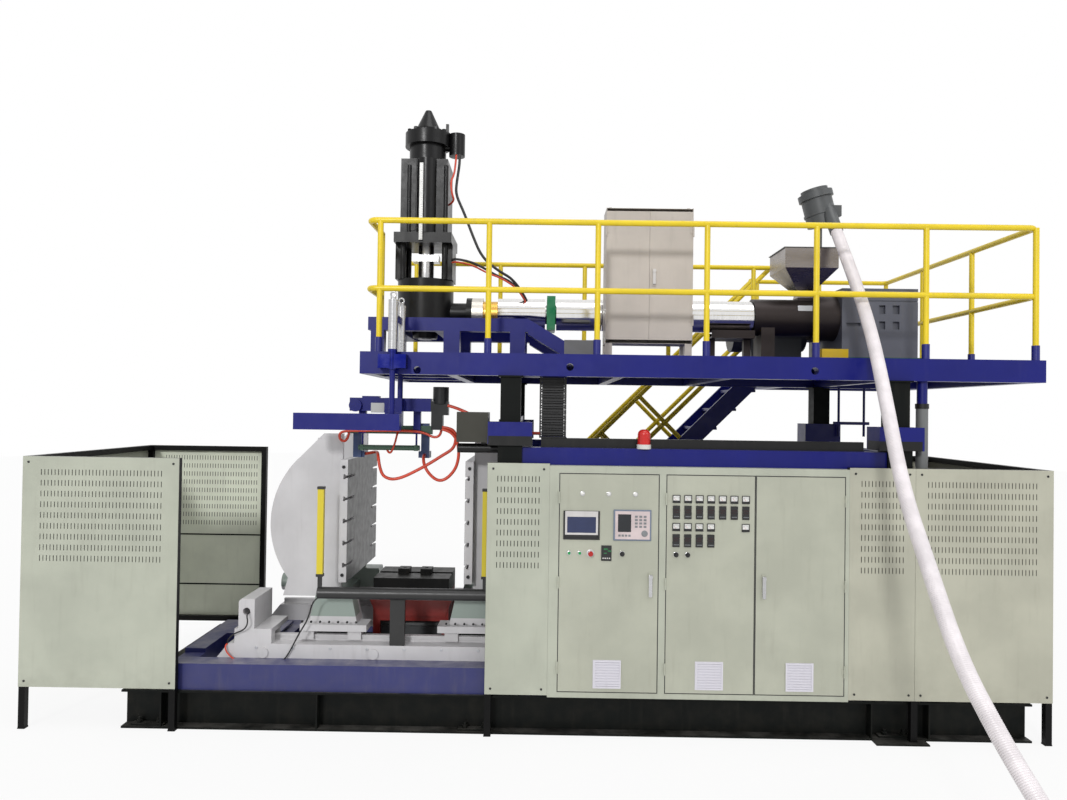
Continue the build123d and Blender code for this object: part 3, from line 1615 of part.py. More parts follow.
def hopper_shell(shrink):
    """The hopper's straight top, taper and throat, drawn smaller all round by its sheet."""
    size = hopper_size - 2 * shrink
    throat = hopper_throat - 2 * shrink
    mode = Mode.SUBTRACT if shrink else Mode.ADD
    middle = (hopper_x, behind(head_y))
    block(around(middle[0], size), around(middle[1], size), (hopper_bend, hopper_top + shrink / 3), mode=mode)
    with BuildSketch(Plane.XY.offset(hopper_bottom)) as low:
        with Locations(middle):
            Rectangle(throat, throat)
    with BuildSketch(Plane.XY.offset(hopper_bend)) as high:
        with Locations(middle):
            Rectangle(size, size)
    loft([low.sketch, high.sketch], mode=mode)
    block(around(middle[0], throat), around(middle[1], throat), (throat_bottom - shrink / 3, hopper_bottom), mode=mode)


with BuildPart() as hopper:
    hopper_shell(0)
    block(
        around(hopper_x, 1.06 * hopper_throat),
        around(behind(head_y), 1.06 * hopper_throat),
        (throat_bottom, throat_bottom + 12),
    )
    hopper_shell(hopper_sheet)
finish(hopper.part, "hopper")

outlet_end = (2566.975, 660.22, 4124.33)
outlet_start = (2546.5, 844.5, 4396.6)
outlet_radius = 56
canister_bottom = (2532, 4238)
canister_top = (2458, 4520)
canister_radius = 132
canister_lid = (150, 34)
with BuildPart() as feeder_head:
    block(around(hopper_x, hopper_size + 20), around(behind(head_y), hopper_size + 20), (hopper_top, hopper_top + lid))
    low = Vector(canister_bottom[0], behind(spout_y), canister_bottom[1])
    high = Vector(canister_top[0], behind(spout_y), canister_top[1])
    lean = (high - low).normalized()
    rod(tuple(low), tuple(high), canister_radius)
    rod(tuple(high - lean * 1.6 * canister_lid[1]), tuple(high), canister_lid[0])
    rod(tuple(high), tuple(high + lean * canister_lid[1]), 0.78 * canister_lid[0])
    rod(tuple(low + lean * 90), tuple(low + lean * 110), canister_radius + 8)
    rod((spout_x, behind(spout_y), hopper_top + lid), (spout_x, behind(spout_y), canister_bottom[1] + 20), spout_radius)
    block((2500, 2650), (behind(spout_y - canister_radius), behind(spout_y)), (4290, 4385))
    rod(
        (outlet_start[0], behind(outlet_start[1]), outlet_start[2]),
        (outlet_end[0], behind(outlet_end[1]), outlet_end[2]),
        outlet_radius,
    )
finish(feeder_head.part, "feeder_head")

# Upper cabinet: a box on feet with two doors and a swing handle
upper_foot = 60
upper_split = (upper_left + upper_right) / 2
upper_rear = upper_front + upper_depth
upper_door = ((upper_left + 20, upper_split), (upper_split, upper_right - 20))
upper_door_z = (upper_bottom + 30, upper_top - 30)
upper_handle = (979, 3693, 127, 25)
upper_pivot = upper_handle[1] + upper_handle[2] / 2 - 14
with BuildPart() as upper_cabinet:
    block((upper_left, upper_right), (behind(upper_front + door_thickness), behind(upper_rear)), (upper_bottom, upper_top))
    block(
        (upper_left + wall, upper_right - wall),
        (behind(upper_front + door_thickness - 1), behind(upper_rear - wall)),
        (upper_bottom + wall, upper_top - wall),
        mode=Mode.SUBTRACT,
    )
    for x in (upper_left + upper_foot / 2, upper_right - upper_foot / 2):
        for y in (upper_front + door_thickness + upper_foot / 2, upper_rear - upper_foot / 2):
            block(around(x, upper_foot), around(behind(y), upper_foot), (deck_top, upper_bottom))
    block(
        (upper_left + 30, upper_right - 30),
        (behind(upper_rear - wall - 30), behind(upper_rear - wall)),
        (upper_bottom + 80, upper_top - 80),
    )
    for x in (upper_left + 34, upper_right - 34):
        rod((x, behind(upper_front + 60), upper_top), (x, behind(upper_front + 60), upper_top + 12), 14)
    for x, side in ((upper_left, 1), (upper_right, -1)):
        block(
            around(x + side * wall / 2, wall),
            (behind(upper_front), behind(upper_front + door_thickness)),
            (upper_bottom, upper_top),
        )
        for z in (upper_bottom + 200, upper_top - 200):
            for middle in around(z, 2 * knuckle + 2 * touch):
                rod(
                    (x, behind(upper_front - hinge_radius - 2), middle - knuckle / 2),
                    (x, behind(upper_front - hinge_radius - 2), middle + knuckle / 2),
                    hinge_radius,
                )
                block(
                    around(x + side * wall / 2, wall),
                    (behind(upper_front - hinge_radius), behind(upper_front)),
                    around(middle, knuckle),
                )
finish(upper_cabinet.part, "upper_cabinet")

for index, name in ((0, "upper_door_left"), (1, "upper_door_right")):
    left, right = (upper_left, upper_split) if index == 0 else (upper_split, upper_right)
    hinge, side = (upper_left, 1) if index == 0 else (upper_right, -1)
    edges = sorted((hinge + side * (wall + touch), upper_split - side * door_gap / 2))
    with BuildPart() as leaf_door:
        block(edges, (behind(upper_front), behind(upper_front + door_thickness - touch)), upper_door_z)
        for z in (upper_bottom + 200, upper_top - 200):
            rod(
                (hinge, behind(upper_front - hinge_radius - 2), z - knuckle / 2),
                (hinge, behind(upper_front - hinge_radius - 2), z + knuckle / 2),
                hinge_radius,
            )
            block(
                tuple(sorted((hinge, hinge + side * leaf))),
                (behind(upper_front - 2 - leaf_thickness), behind(upper_front)),
                around(z, knuckle),
            )
        if index:
            block(
                around(upper_handle[0], upper_handle[3] + 8),
                (behind(upper_front - 8), behind(upper_front)),
                around(upper_handle[1], upper_handle[2] + 30),
            )
    finish(leaf_door.part, name)
with BuildPart() as upper_lever:
    handle_front = upper_front - 8 - touch
    block(
        around(upper_handle[0], upper_handle[3]),
        (behind(handle_front - 20), behind(handle_front)),
        around(upper_handle[1], upper_handle[2]),
    )
    rod(
        (upper_handle[0], behind(handle_front), upper_pivot),
        (upper_handle[0], behind(handle_front - 24), upper_pivot),
        0.62 * upper_handle[3],
    )
finish(upper_lever.part, "upper_handle")

# Parison gripper: guide sleeves on the platform, a lifting frame, and two jaws with their cylinder
sleeve = (2850, 3400)
sleeve_bore = grip_rod_radius + running
grip_rod = (2500, 3170)
front_beam = ((-1900, -1070), (-30, 60), (2370, 2500))
rear_beam = ((-1560, -880), (395, 485), (2520, 2630))
jaw_centres = (-1530, -950)
jaw_y = 560
with BuildPart() as grip_bracket:
    block(
        (grip_x - 110, grip_x + 110),
        (behind(grip_front_y - grip_sleeve + 4), behind(platform_front)),
        (sleeve[0] + 10, sleeve[0] + 120),
    )
    for y in (grip_front_y, grip_rear_y):
        rod((grip_x, behind(y), sleeve[0]), (grip_x, behind(y), sleeve[1]), grip_sleeve)
        rod((grip_x, behind(y), sleeve[1]), (grip_x, behind(y), sleeve[1] + 24), grip_sleeve * 0.6)
    block((grip_x - 90, grip_x + 90), around(behind(grip_rear_y), 180), (deck_top, deck_top + 14))
    block(
        around(grip_x, 36),
        (behind(grip_front_y + grip_sleeve - 4), behind(grip_rear_y - grip_sleeve + 4)),
        (3230, 3290),
    )
    for y in (grip_front_y, grip_rear_y):
        rod(
            (grip_x, behind(y), sleeve[0] - 1),
            (grip_x, behind(y), sleeve[1] - 10),
            sleeve_bore,
            mode=Mode.SUBTRACT,
        )
finish(grip_bracket.part, "grip_bracket")

grip_motor = (-806, 66, (2588, 2728))
grip_valve = ((-880, -740), (2493, 2608))
grip_lower = ((-880, -785), (2370, 2493))
grip_disc = (-1508, 2566, 52, 30)
grip_plates = (((-1458, -1314), (400, 460), (2630, 2645)), ((-1370, -1250), (335, 395), (2508, 2588)))
grip_cylinder = ((-1500, -985), 488, 2213, 22)
cylinder_ends = 30
with BuildPart() as grip_frame:
    block(front_beam[0], (behind(front_beam[1][0]), behind(front_beam[1][1])), front_beam[2])
    block(rear_beam[0], (behind(rear_beam[1][0]), behind(rear_beam[1][1])), rear_beam[2])
    for y, top in ((grip_front_y, front_beam[2][1]), (grip_rear_y, rear_beam[2][1])):
        rod((grip_x, behind(y), top - 20), (grip_x, behind(y), grip_rod[1]), grip_rod_radius)
    block((-1250, -1110), (behind(front_beam[1][1]), behind(rear_beam[1][0])), (2400, 2500))
    block((-1250, -1110), (behind(rear_beam[1][0] - 90), behind(rear_beam[1][0])), (2400, rear_beam[2][1]))
    block((-1600, -880), (behind(495), behind(525)), (2330, 2400))
    for x in around((jaw_centres[0] + jaw_centres[1]) / 2, 460):
        block(around(x, 60), (behind(rear_beam[1][1] - 10), behind(525)), (2330, rear_beam[2][1]))
    for x, z in (grip_valve, grip_lower):
        block(x, (behind(rear_beam[1][0]), behind(rear_beam[1][1])), z)
    motor_axis = sum(rear_beam[1]) / 2
    rod(
        (grip_motor[0], behind(motor_axis), grip_motor[2][0]),
        (grip_motor[0], behind(motor_axis), grip_motor[2][1]),
        grip_motor[1],
    )
    rod(
        (grip_disc[0], behind(rear_beam[1][0]), grip_disc[1]),
        (grip_disc[0], behind(rear_beam[1][0] - grip_disc[3]), grip_disc[1]),
        grip_disc[2],
    )
    for x, y, z in grip_plates:
        block(x, (behind(y[0]), behind(y[1])), z)
with BuildPart() as jaw_cylinder:
    cylinder_run, cylinder_y, level, reach = grip_cylinder
    rod((cylinder_run[0], behind(cylinder_y), level), (cylinder_run[1], behind(cylinder_y), level), reach)
    for x in (cylinder_run[0] + cylinder_ends, cylinder_run[1] - cylinder_ends):
        block(around(x, cylinder_ends), around(behind(cylinder_y), 2 * reach + 4), around(level, 2 * reach + 4))
        block(around(x, cylinder_ends / 2), (behind(495), behind(cylinder_y + reach)), (level, 2330 - touch))
finish(Compound(children=[grip_frame.part, jaw_cylinder.part]), "grip_frame")

for centre, side, name in ((jaw_centres[0], 1, "grip_jaw_left"), (jaw_centres[1], -1, "grip_jaw_right")):
    with BuildPart() as jaw:
        block(around(centre, 70), (behind(525 + touch), behind(590)), (2332, 2420))
        block(around(centre, 70), (behind(566), behind(590)), (2125, 2420))
        block(around(centre + side * 12, 94), (behind(585), behind(700)), (2125, 2180))
    finish(jaw.part, name)


# Feed hose, a corrugated cord drawn as a plain tube on straight runs joined by tangent bends
hose_bore = 44
hose_points = (
    (2567, 660, 4124),
    (2587, 480, 3858),
    (2634, 350, 3574),
    (2628, 50, 3174),
    (2583, -300, 2690),
    (2510, -750, 2050),
    (2430, -1300, 1600),
    (2410, -1700, 1165),
    (2450, -2040, 857),
    (2510, -2300, 620),
    (2580, -2600, 350),
    (2650, -2850, 100),
)


def bend_radii(points):
    """The radius at each inner point that takes 0.45 of its shorter run."""
    radii = []
    for before, at, after in zip(points, points[1:], points[2:]):
        first = Vector(*at) - Vector(*before)
        second = Vector(*after) - Vector(*at)
        turn = math.radians(first.get_angle(second))
        radii.append(0.45 * min(first.length, second.length) / math.tan(turn / 2))
    return radii


def hose_place(point):
    """A hose point, given behind the front faces, in the machine's frame."""
    return (point[0], behind(point[1]), point[2])


hose_radii = bend_radii(hose_points)
print("hose radii", [round(radius) for radius in hose_radii])
with BuildPart() as feed_hose:
    with BuildLine() as hose_path:
        FilletPolyline(*[hose_place(point) for point in hose_points], radius=hose_radii)
    with BuildSketch(Plane(origin=hose_path.line @ 0, z_dir=hose_path.line % 0)) as hose_section:
        Circle(hose_radius)
        Circle(hose_bore, mode=Mode.SUBTRACT)
    sweep()
print("hose length", round(sum(edge.length for edge in hose_path.edges())), "volume", round(feed_hose.part.volume))
finish(feed_hose.part, "feed_hose")
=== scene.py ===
"""Looks of the extrusion blow moulding machine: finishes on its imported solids, and the hoses, cables,
perforated sheets, fasteners and instrument faces that ride on its bodies."""

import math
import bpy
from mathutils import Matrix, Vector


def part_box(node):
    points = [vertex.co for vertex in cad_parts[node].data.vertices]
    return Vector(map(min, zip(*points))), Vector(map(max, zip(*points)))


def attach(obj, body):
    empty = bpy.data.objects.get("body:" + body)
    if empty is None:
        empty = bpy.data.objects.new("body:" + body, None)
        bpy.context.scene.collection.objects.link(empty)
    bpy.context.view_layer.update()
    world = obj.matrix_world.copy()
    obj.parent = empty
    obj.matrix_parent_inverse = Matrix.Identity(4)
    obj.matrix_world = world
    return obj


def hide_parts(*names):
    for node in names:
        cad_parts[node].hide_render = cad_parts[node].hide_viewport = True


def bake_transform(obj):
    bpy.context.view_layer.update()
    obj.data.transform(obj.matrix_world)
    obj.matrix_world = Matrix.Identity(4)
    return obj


bl_info = {
    "name": "Blow Moulding Machine",
    "version": (1, 0, 0),
    "blender": (4, 5, 0),
    "location": "3D View > Sidebar > Machine",
    "description": "Builds the finishes and fittings of an extrusion blow moulding machine",
    "category": "Object",
}

import bmesh
import bpy
from mathutils import Matrix, Vector

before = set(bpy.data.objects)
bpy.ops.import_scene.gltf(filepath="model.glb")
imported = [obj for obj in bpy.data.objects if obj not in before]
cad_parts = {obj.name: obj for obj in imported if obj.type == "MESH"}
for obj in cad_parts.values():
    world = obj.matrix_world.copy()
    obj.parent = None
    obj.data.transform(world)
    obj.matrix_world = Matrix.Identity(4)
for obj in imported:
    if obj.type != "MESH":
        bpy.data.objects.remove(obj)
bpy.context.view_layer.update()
FRONT = -1.44
FINISHES = {}


def at(x, y, z):
    """A place in metres: x and z in the machine's frame, y behind the guards' front faces."""
    return Vector((x, FRONT + y, z))


# Shader values


class Channel:
    """A shader value that takes part in Python arithmetic and adds its Math nodes."""

    def __init__(self, surface, socket):
        self.surface = surface
        self.socket = socket

    def maths(self, operation, *values):
        return self.surface.node("ShaderNodeMath", {"operation": operation}, dict(enumerate(values)))

    def __add__(self, other):
        return self.maths("ADD", self, other)

    def __radd__(self, other):
        return self.maths("ADD", other, self)

    def __sub__(self, other):
        return self.maths("SUBTRACT", self, other)

    def __rsub__(self, other):
        return self.maths("SUBTRACT", other, self)

    def __mul__(self, other):
        return self.maths("MULTIPLY", self, other)

    def __rmul__(self, other):
        return self.maths("MULTIPLY", other, self)

    def __gt__(self, other):
        return self.maths("GREATER_THAN", self, other)

    def __lt__(self, other):
        return self.maths("LESS_THAN", self, other)

    def clamped(self):
        return self.maths("MINIMUM", self.maths("MAXIMUM", self, 0.0), 1.0)

    def rise(self, low, high):
        """0 below low, 1 above high and smooth between them."""
        return self.surface.node(
            "ShaderNodeMapRange",
            {"interpolation_type": "SMOOTHSTEP"},
            {"Value": self, "From Min": low, "From Max": high},
        )


class Surface:
    """One procedural material: its principled shader and the nodes behind its sockets."""

    def __init__(self, name, **constants):
        self.material = bpy.data.materials.new(name)
        self.material.use_nodes = True
        self.tree = self.material.node_tree
        self.shader = self.tree.nodes["Principled BSDF"]
        for socket, value in constants.items():
            self.shader.inputs[socket.replace("_", " ")].default_value = value
        place = self.tree.nodes.new("ShaderNodeTexCoord")
        self.place = Channel(self, place.outputs["Object"])
        FINISHES[name] = self.material

    def node(self, kind, settings=None, values=None, out=0):
        """Adds a node, sets its own settings first, then links or sets its inputs."""
        made = self.tree.nodes.new(kind)
        for key, value in (settings or {}).items():
            setattr(made, key, value)
        for key, value in (values or {}).items():
            if isinstance(value, Channel):
                self.tree.links.new(value.socket, made.inputs[key])
            else:
                made.inputs[key].default_value = value
        return Channel(self, made.outputs[out])

    def axis(self, index):
        """One coordinate of the place on the object, in metres."""
        return self.node("ShaderNodeSeparateXYZ", None, {0: self.place}, index)

    def upward(self):
        """How far the surface faces up."""
        geometry = self.tree.nodes.new("ShaderNodeNewGeometry")
        return self.node("ShaderNodeSeparateXYZ", None, {0: Channel(self, geometry.outputs["Normal"])}, 2)

    def stretched(self, x, y, z):
        """The place scaled by a factor along each axis."""
        return self.node("ShaderNodeVectorMath", {"operation": "MULTIPLY"}, {0: self.place, 1: (x, y, z)})

    def grain(self, scale, detail=3.0, roughness=0.55, place=None):
        """Soft noise from 0 to 1."""
        values = {"Vector": place or self.place, "Scale": scale, "Detail": detail, "Roughness": roughness}
        return self.node("ShaderNodeTexNoise", None, values)

    def blend(self, share, first, second):
        """Mixes two colours by a share from 0 to 1."""
        return self.node("ShaderNodeMix", {"data_type": "RGBA"}, {0: share, 6: first, 7: second}, 2)

    def feed(self, socket, value):
        self.tree.links.new(value.socket, self.shader.inputs[socket])

    def bumps(self, height, distance, strength):
        values = {"Height": height, "Distance": distance, "Strength": strength}
        self.feed("Normal", self.node("ShaderNodeBump", None, values))

    def within(self, low, high):
        """1 inside a box of places, 0 outside."""
        sides = []
        for index in range(3):
            value = self.axis(index)
            sides.append((value > low[index]) * (value < high[index]))
        return sides[0] * sides[1] * sides[2]

    def zoned(self, shade, zones):
        """A shade with another colour inside each box of places."""
        for low, high, other in zones:
            shade = self.blend(self.within(low, high), shade, colour(*other))
        return shade


def colour(red, green, blue):
    return (red, green, blue, 1.0)


def dimmed(tone, *shares):
    """A tone times one share, or a share for each of its parts."""
    return tuple(part * share for part, share in zip(tone, shares if len(shares) == 3 else shares * 3))


PRIMER = (0.06, 0.06, 0.06)
STREAK_TONE = (0.16, 0.14, 0.11)
GRIME_TONE = (0.11, 0.09, 0.07)
DUST_TONE = (0.42, 0.40, 0.37)


def painted(
    name, tone, roughness=0.42, dust=0.25, chips=0.0, dirt=0.0, under=PRIMER, zones=(), specular=0.5, streak=0.12
):
    """Sprayed paint: faint mottling, dust on what faces up, chips down to the primer, grime near the floor."""
    surface = Surface(name, Roughness=roughness, Specular_IOR_Level=specular)
    mottle = surface.grain(2.3, 4.0).rise(0.3, 0.72)
    shade = surface.blend(mottle, colour(*dimmed(tone, 0.86)), colour(*tone))
    shade = surface.zoned(shade, zones)
    streaks = surface.grain(6.0, 5.0, place=surface.stretched(3.0, 3.0, 0.35)).rise(0.52, 0.78)
    shade = surface.blend(streaks * streak, shade, colour(*STREAK_TONE))
    if dirt:
        low_down = 1.0 - surface.axis(2).rise(0.0, 0.75)
        spread = surface.grain(9.0, 6.0).rise(0.35, 0.75)
        shade = surface.blend(low_down * spread * dirt, shade, colour(*GRIME_TONE))
    if chips:
        spots = surface.grain(38.0, 6.0, 0.7).rise(0.69, 0.72) * surface.grain(3.1).rise(0.5, 0.62)
        shade = surface.blend(spots * chips, shade, colour(*under))
    if dust:
        lying = surface.upward().rise(0.55, 0.98) * surface.grain(5.0, 6.0).rise(0.25, 0.8)
        shade = surface.blend(lying * dust, shade, colour(*DUST_TONE))
    surface.feed("Base Color", shade)
    rough = surface.grain(14.0, 4.0).rise(0.2, 0.9) * 0.16 + (roughness - 0.08)
    surface.feed("Roughness", rough)
    surface.bumps(surface.grain(420.0, 2.0), 0.0004, 0.25)
    return surface


def bare_metal(name, tone, roughness, grain_axis, wear, metallic=1.0, zones=()):
    """Ground or rolled metal with fine lines, smears of oil and a little tarnish."""
    surface = Surface(name, Metallic=metallic, Roughness=roughness)
    lines = surface.grain(9.0, 5.0, 0.6, surface.stretched(*grain_axis))
    smears = surface.grain(3.5, 5.0).rise(0.35, 0.75)
    shade = surface.blend(lines.rise(0.3, 0.7), colour(*dimmed(tone, 0.82)), colour(*tone))
    shade = surface.zoned(shade, zones)
    shade = surface.blend(smears * wear, shade, colour(*dimmed(tone, 0.45)))
    surface.feed("Base Color", shade)
    surface.feed("Roughness", (lines * 0.12 + smears * 0.14 + (roughness - 0.1)).clamped())
    surface.bumps(lines, 0.0002, 0.3)
    return surface


def moulded(name, tone, roughness=0.5, fine=300.0, zones=()):
    """Moulded plastic or rubber with a fine grain."""
    surface = Surface(name, Roughness=roughness)
    shade = surface.blend(surface.grain(7.0).rise(0.3, 0.7), colour(*dimmed(tone, 0.85)), colour(*tone))
    shade = surface.zoned(shade, zones)
    surface.feed("Base Color", shade)
    surface.feed("Roughness", surface.grain(21.0).rise(0.2, 0.9) * 0.14 + (roughness - 0.07))
    surface.bumps(surface.grain(fine), 0.0003, 0.3)
    return surface


# Mesh building


class Shape:
    """A mesh under construction in the machine's frame, in metres."""

    def __init__(self):
        self.mesh = bmesh.new()

    def box(self, low, high, lean=None):
        """A block between two corners."""
        corners = [
            Vector((x, y, z)) for x in (low[0], high[0]) for y in (low[1], high[1]) for z in (low[2], high[2])
        ]
        made = [self.mesh.verts.new(lean @ corner if lean else corner) for corner in corners]
        for face in ((0, 1, 3, 2), (4, 6, 7, 5), (0, 4, 5, 1), (2, 3, 7, 6), (0, 2, 6, 4), (1, 5, 7, 3)):
            self.mesh.faces.new([made[index] for index in face])
        return self

    def ring(self, centre, across, third, radius, sides):
        """Points on a circle."""
        points = []
        for step in range(sides):
            angle = 2 * math.pi * step / sides
            points.append(self.mesh.verts.new(centre + (across * math.cos(angle) + third * math.sin(angle)) * radius))
        return points

    def skin(self, rings, bored=False):
        """Faces along rings of points, with an end face at both ends, or back to the first ring."""
        sides = len(rings[0])
        for first, second in zip(rings, rings[1:] + rings[:1] if bored else rings[1:]):
            for step in range(sides):
                after = (step + 1) % sides
                self.mesh.faces.new((first[step], first[after], second[after], second[step]))
        if not bored:
            self.mesh.faces.new(list(reversed(rings[0])))
            self.mesh.faces.new(rings[-1])
        return self

    def lathe(self, start, towards, profile, sides, bored=False):
        """A turned form: pairs of distance along the axis and radius, closed at both ends or round a bore."""
        axis = (Vector(towards) - Vector(start)).normalized()
        across = axis.orthogonal().normalized()
        third = axis.cross(across)
        rings = []
        for distance, radius in profile:
            centre = Vector(start) + axis * distance
            rings.append(self.ring(centre, across, third, radius, sides))
        return self.skin(rings, bored)

    def tube(self, points, radius, sides):
        """A round section carried along points, with a radius that may change along it."""
        rings = []
        count = len(points)
        normal = None
        for number, point in enumerate(points):
            ahead = points[min(number + 1, count - 1)] - points[max(number - 1, 0)]
            ahead.normalize()
            if normal is None:
                normal = ahead.orthogonal().normalized()
            normal = (normal - ahead * normal.dot(ahead)).normalized()
            third = ahead.cross(normal)
            size = radius(number) if callable(radius) else radius
            rings.append(self.ring(point, normal, third, size, sides))
        return self.skin(rings)

    def sheet(self, across, along, place, thickness):
        """A thin sheet on a grid of lines, open in the cells that have odd numbers both ways."""
        layers = [
            [[self.mesh.verts.new(place(u, w, depth)) for w in along] for u in across] for depth in (0.0, thickness)
        ]

        def solid(i, j):
            inside = 0 <= i < len(across) - 1 and 0 <= j < len(along) - 1
            return inside and not (i % 2 and j % 2)

        sides = (
            ((-1, 0), (0, 0), (0, 1)),
            ((1, 0), (1, 0), (1, 1)),
            ((0, -1), (0, 0), (1, 0)),
            ((0, 1), (0, 1), (1, 1)),
        )
        near, far = layers
        for i in range(len(across) - 1):
            for j in range(len(along) - 1):
                if not solid(i, j):
                    continue
                for layer in layers:
                    self.mesh.faces.new((layer[i][j], layer[i + 1][j], layer[i + 1][j + 1], layer[i][j + 1]))
                for (di, dj), (a, b), (c, d) in sides:
                    if not solid(i + di, j + dj):
                        edge = ((i + a, j + b), (i + c, j + d))
                        corners = [near[u][w] for u, w in edge] + [far[u][w] for u, w in reversed(edge)]
                        self.mesh.faces.new(corners)
        return self

    def frame(self, low, high, width, near, far):
        """A rectangular rim on the front: outer corners (x, z), its width, and how far behind the guards it lies."""
        (left, bottom), (right, top) = low, high
        self.box(at(left, near, bottom), at(right, far, bottom + width))
        self.box(at(left, near, top - width), at(right, far, top))
        self.box(at(left, near, bottom + width), at(left + width, far, top - width))
        self.box(at(right - width, near, bottom + width), at(right, far, top - width))
        return self

    def screw(self, seat, towards, radius, height):
        """A cap screw's head with a recess, standing on its seat."""
        socket = 0.45 * radius
        profile = (
            (0.0, radius),
            (height * 0.8, radius),
            (height, radius * 0.85),
            (height, socket),
            (height * 0.4, socket * 0.9),
        )
        return self.lathe(seat, Vector(seat) + Vector(towards), profile, 14)

    def piece(self, name, finish, body, slot="plastic_black", bevel=0.0, smooth=True):
        """Ends the mesh as an object that rides on a body."""
        bmesh.ops.recalc_face_normals(self.mesh, faces=self.mesh.faces)
        data = bpy.data.meshes.new(name)
        self.mesh.to_mesh(data)
        self.mesh.free()
        made = placed(name, data)
        data.materials.append(FINISHES[finish])
        if bevel:
            rounding = made.modifiers.new("edges", "BEVEL")
            rounding.width = bevel
            rounding.segments = 2
            rounding.limit_method = "ANGLE"
            rounding.angle_limit = math.radians(40)
        if smooth:
            data.shade_smooth()
            data.set_sharp_from_angle(angle=math.radians(35))
        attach(made, body)
        return made


def placed(name, data):
    """A new object in the scene."""
    made = bpy.data.objects.new(name, data)
    bpy.context.scene.collection.objects.link(made)
    return made


def route(points, name):
    """The smooth line of a hose or cable through its control points, as a curve object's data."""
    line = bpy.data.curves.new(name, "CURVE")
    line.dimensions = "3D"
    line.resolution_u = 12
    spline = line.splines.new("NURBS")
    spline.points.add(len(points) - 1)
    for knot, point in zip(spline.points, points):
        knot.co = (*point, 1.0)
    spline.order_u = 3
    spline.use_endpoint_u = True
    return line


def sampled(points, spacing):
    """Points along the smooth line of a route, an even distance apart."""
    line = bpy.data.objects.new("sample", route(points, "sample"))
    mesh = bpy.data.meshes.new_from_object(line)
    raw = [vertex.co.copy() for vertex in mesh.vertices]
    bpy.data.objects.remove(line)
    length = sum((b - a).length for a, b in zip(raw, raw[1:]))
    count = max(2, round(length / spacing))
    result = [raw[0]]
    travelled, index = 0.0, 0
    for step in range(1, count + 1):
        wanted = length * step / count
        while index < len(raw) - 2 and travelled + (raw[index + 1] - raw[index]).length < wanted:
            travelled += (raw[index + 1] - raw[index]).length
            index += 1
        run = raw[index + 1] - raw[index]
        result.append(raw[index] + run * min(1.0, (wanted - travelled) / max(run.length, 1e-9)))
    return result, length


def cable(name, points, diameter, finish, body):
    """A hose or cable on one body, drawn as a curve."""
    line = route(points, name)
    line.bevel_depth = diameter / 2
    line.bevel_resolution = 3
    line.use_fill_caps = True
    made = placed(name, line)
    line.materials.append(FINISHES[finish])
    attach(made, body)
    sampled(points, 0.02)[1]


def dress(nodes, finish):
    """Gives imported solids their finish."""
    for name in nodes:
        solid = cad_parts[name]
        solid.data.materials.clear()
        solid.data.materials.append(FINISHES[finish])


# Settings


def tone_setting(name, description, default):
    return bpy.props.FloatVectorProperty(name=name, description=description, subtype="COLOR", size=3, default=default)


class MachineColours(bpy.types.PropertyGroup):
    """Paint colours of the machine."""

    panels: tone_setting("Panels", "Guards and cabinets", (0.430, 0.449, 0.370))
    deck: tone_setting("Deck", "Platform, stand and stairs", (0.003, 0.006, 0.15))
    rails: tone_setting("Rails", "Handrails", (0.80, 0.60, 0.010))
    base: tone_setting("Base", "Skid and columns", (0.004, 0.005, 0.0045))
    clamp: tone_setting("Clamp", "Platens and rail beams", (0.56, 0.55, 0.56))


class MachineSizes(bpy.types.PropertyGroup):
    """Sizes of the fittings that the looks add."""

    hose_diameter: bpy.props.FloatProperty(
        name="Feed Hose", description="Outer diameter of the feed hose", unit="LENGTH", default=0.1
    )
    hose_pitch: bpy.props.FloatProperty(
        name="Hose Ribs", description="Distance between the hose's ribs", unit="LENGTH", default=0.012
    )


# Boxes where a finish has another colour: low corner, high corner, colour

FAR = 9
DARK = (0.006, 0.006, 0.006)
# Greenish grey of the carriages' feet: painted shade with a greenish cast.
FOOT_SHADE_GREEN = (0.25, 0.30, 0.27)
DECK_SOCKETS = (((-FAR, -FAR, 2.99), (FAR, FRONT + 2.06, 3.114)), ((2.45, FRONT + 2.06, 2.99), (FAR, FAR, 3.114)))
DECK_BOX = ((2.30, FRONT + 0.2, 2.9), (2.52, FRONT + 0.39, 3.08), (0.55, 0.36, 0.005))
FRAME_ZONES = (
    ((-0.38, FRONT, 2.251), (3.02, FRONT + 0.26, 2.34), DARK),
    ((-0.64, -FAR, 2.26), (-0.384, FRONT + 0.31, 2.53), (0.035, 0.034, 0.026)),
    ((-0.64, -FAR, 2.1), (-0.20, FRONT + 0.31, 2.276), DARK),
    ((3.02, FRONT + 0.1, 2.0), (3.15, FRONT + 0.26, 2.7), (0.16, 0.165, 0.165)),
    ((3.02, FRONT + 0.1, 2.60), (3.15, FRONT + 0.26, 2.645), (0.01, 0.01, 0.01)),
)
STAND_ZONES = (((0.22, -FAR, 3.0), (0.49, FAR, 3.17), (0.14, 0.14, 0.145)),)
PLATFORM_ZONES = (((2.1, FRONT + 0.3, 2.3), (2.9, FRONT + 2.0, 2.80), (0.006, 0.006, 0.008)),)
# Dark faces of the mould plates: the steel's dark tone with painted shade on it.
PLATEN_SHADE_ZONES = (
    ((-1.5712, -FAR, 1.05), (-1.5, FAR, 2.15), (0.030, 0.030, 0.031)),
    ((-0.70, -FAR, 1.05), (-0.5888, FAR, 2.15), (0.030, 0.030, 0.031)),
    # The carriages' feet: painted shade.
    ((-FAR, -FAR, 0.823), (FAR, FRONT + 0.519, 1.02), FOOT_SHADE_GREEN),
    ((-FAR, FRONT + 0.561, 0.823), (FAR, FAR, 1.02), FOOT_SHADE_GREEN),
)
GEAR_ZONES = (((2.0, -2, 2.9), (3.6, 1, 3.05), (0.01, 0.07, 0.02)),)
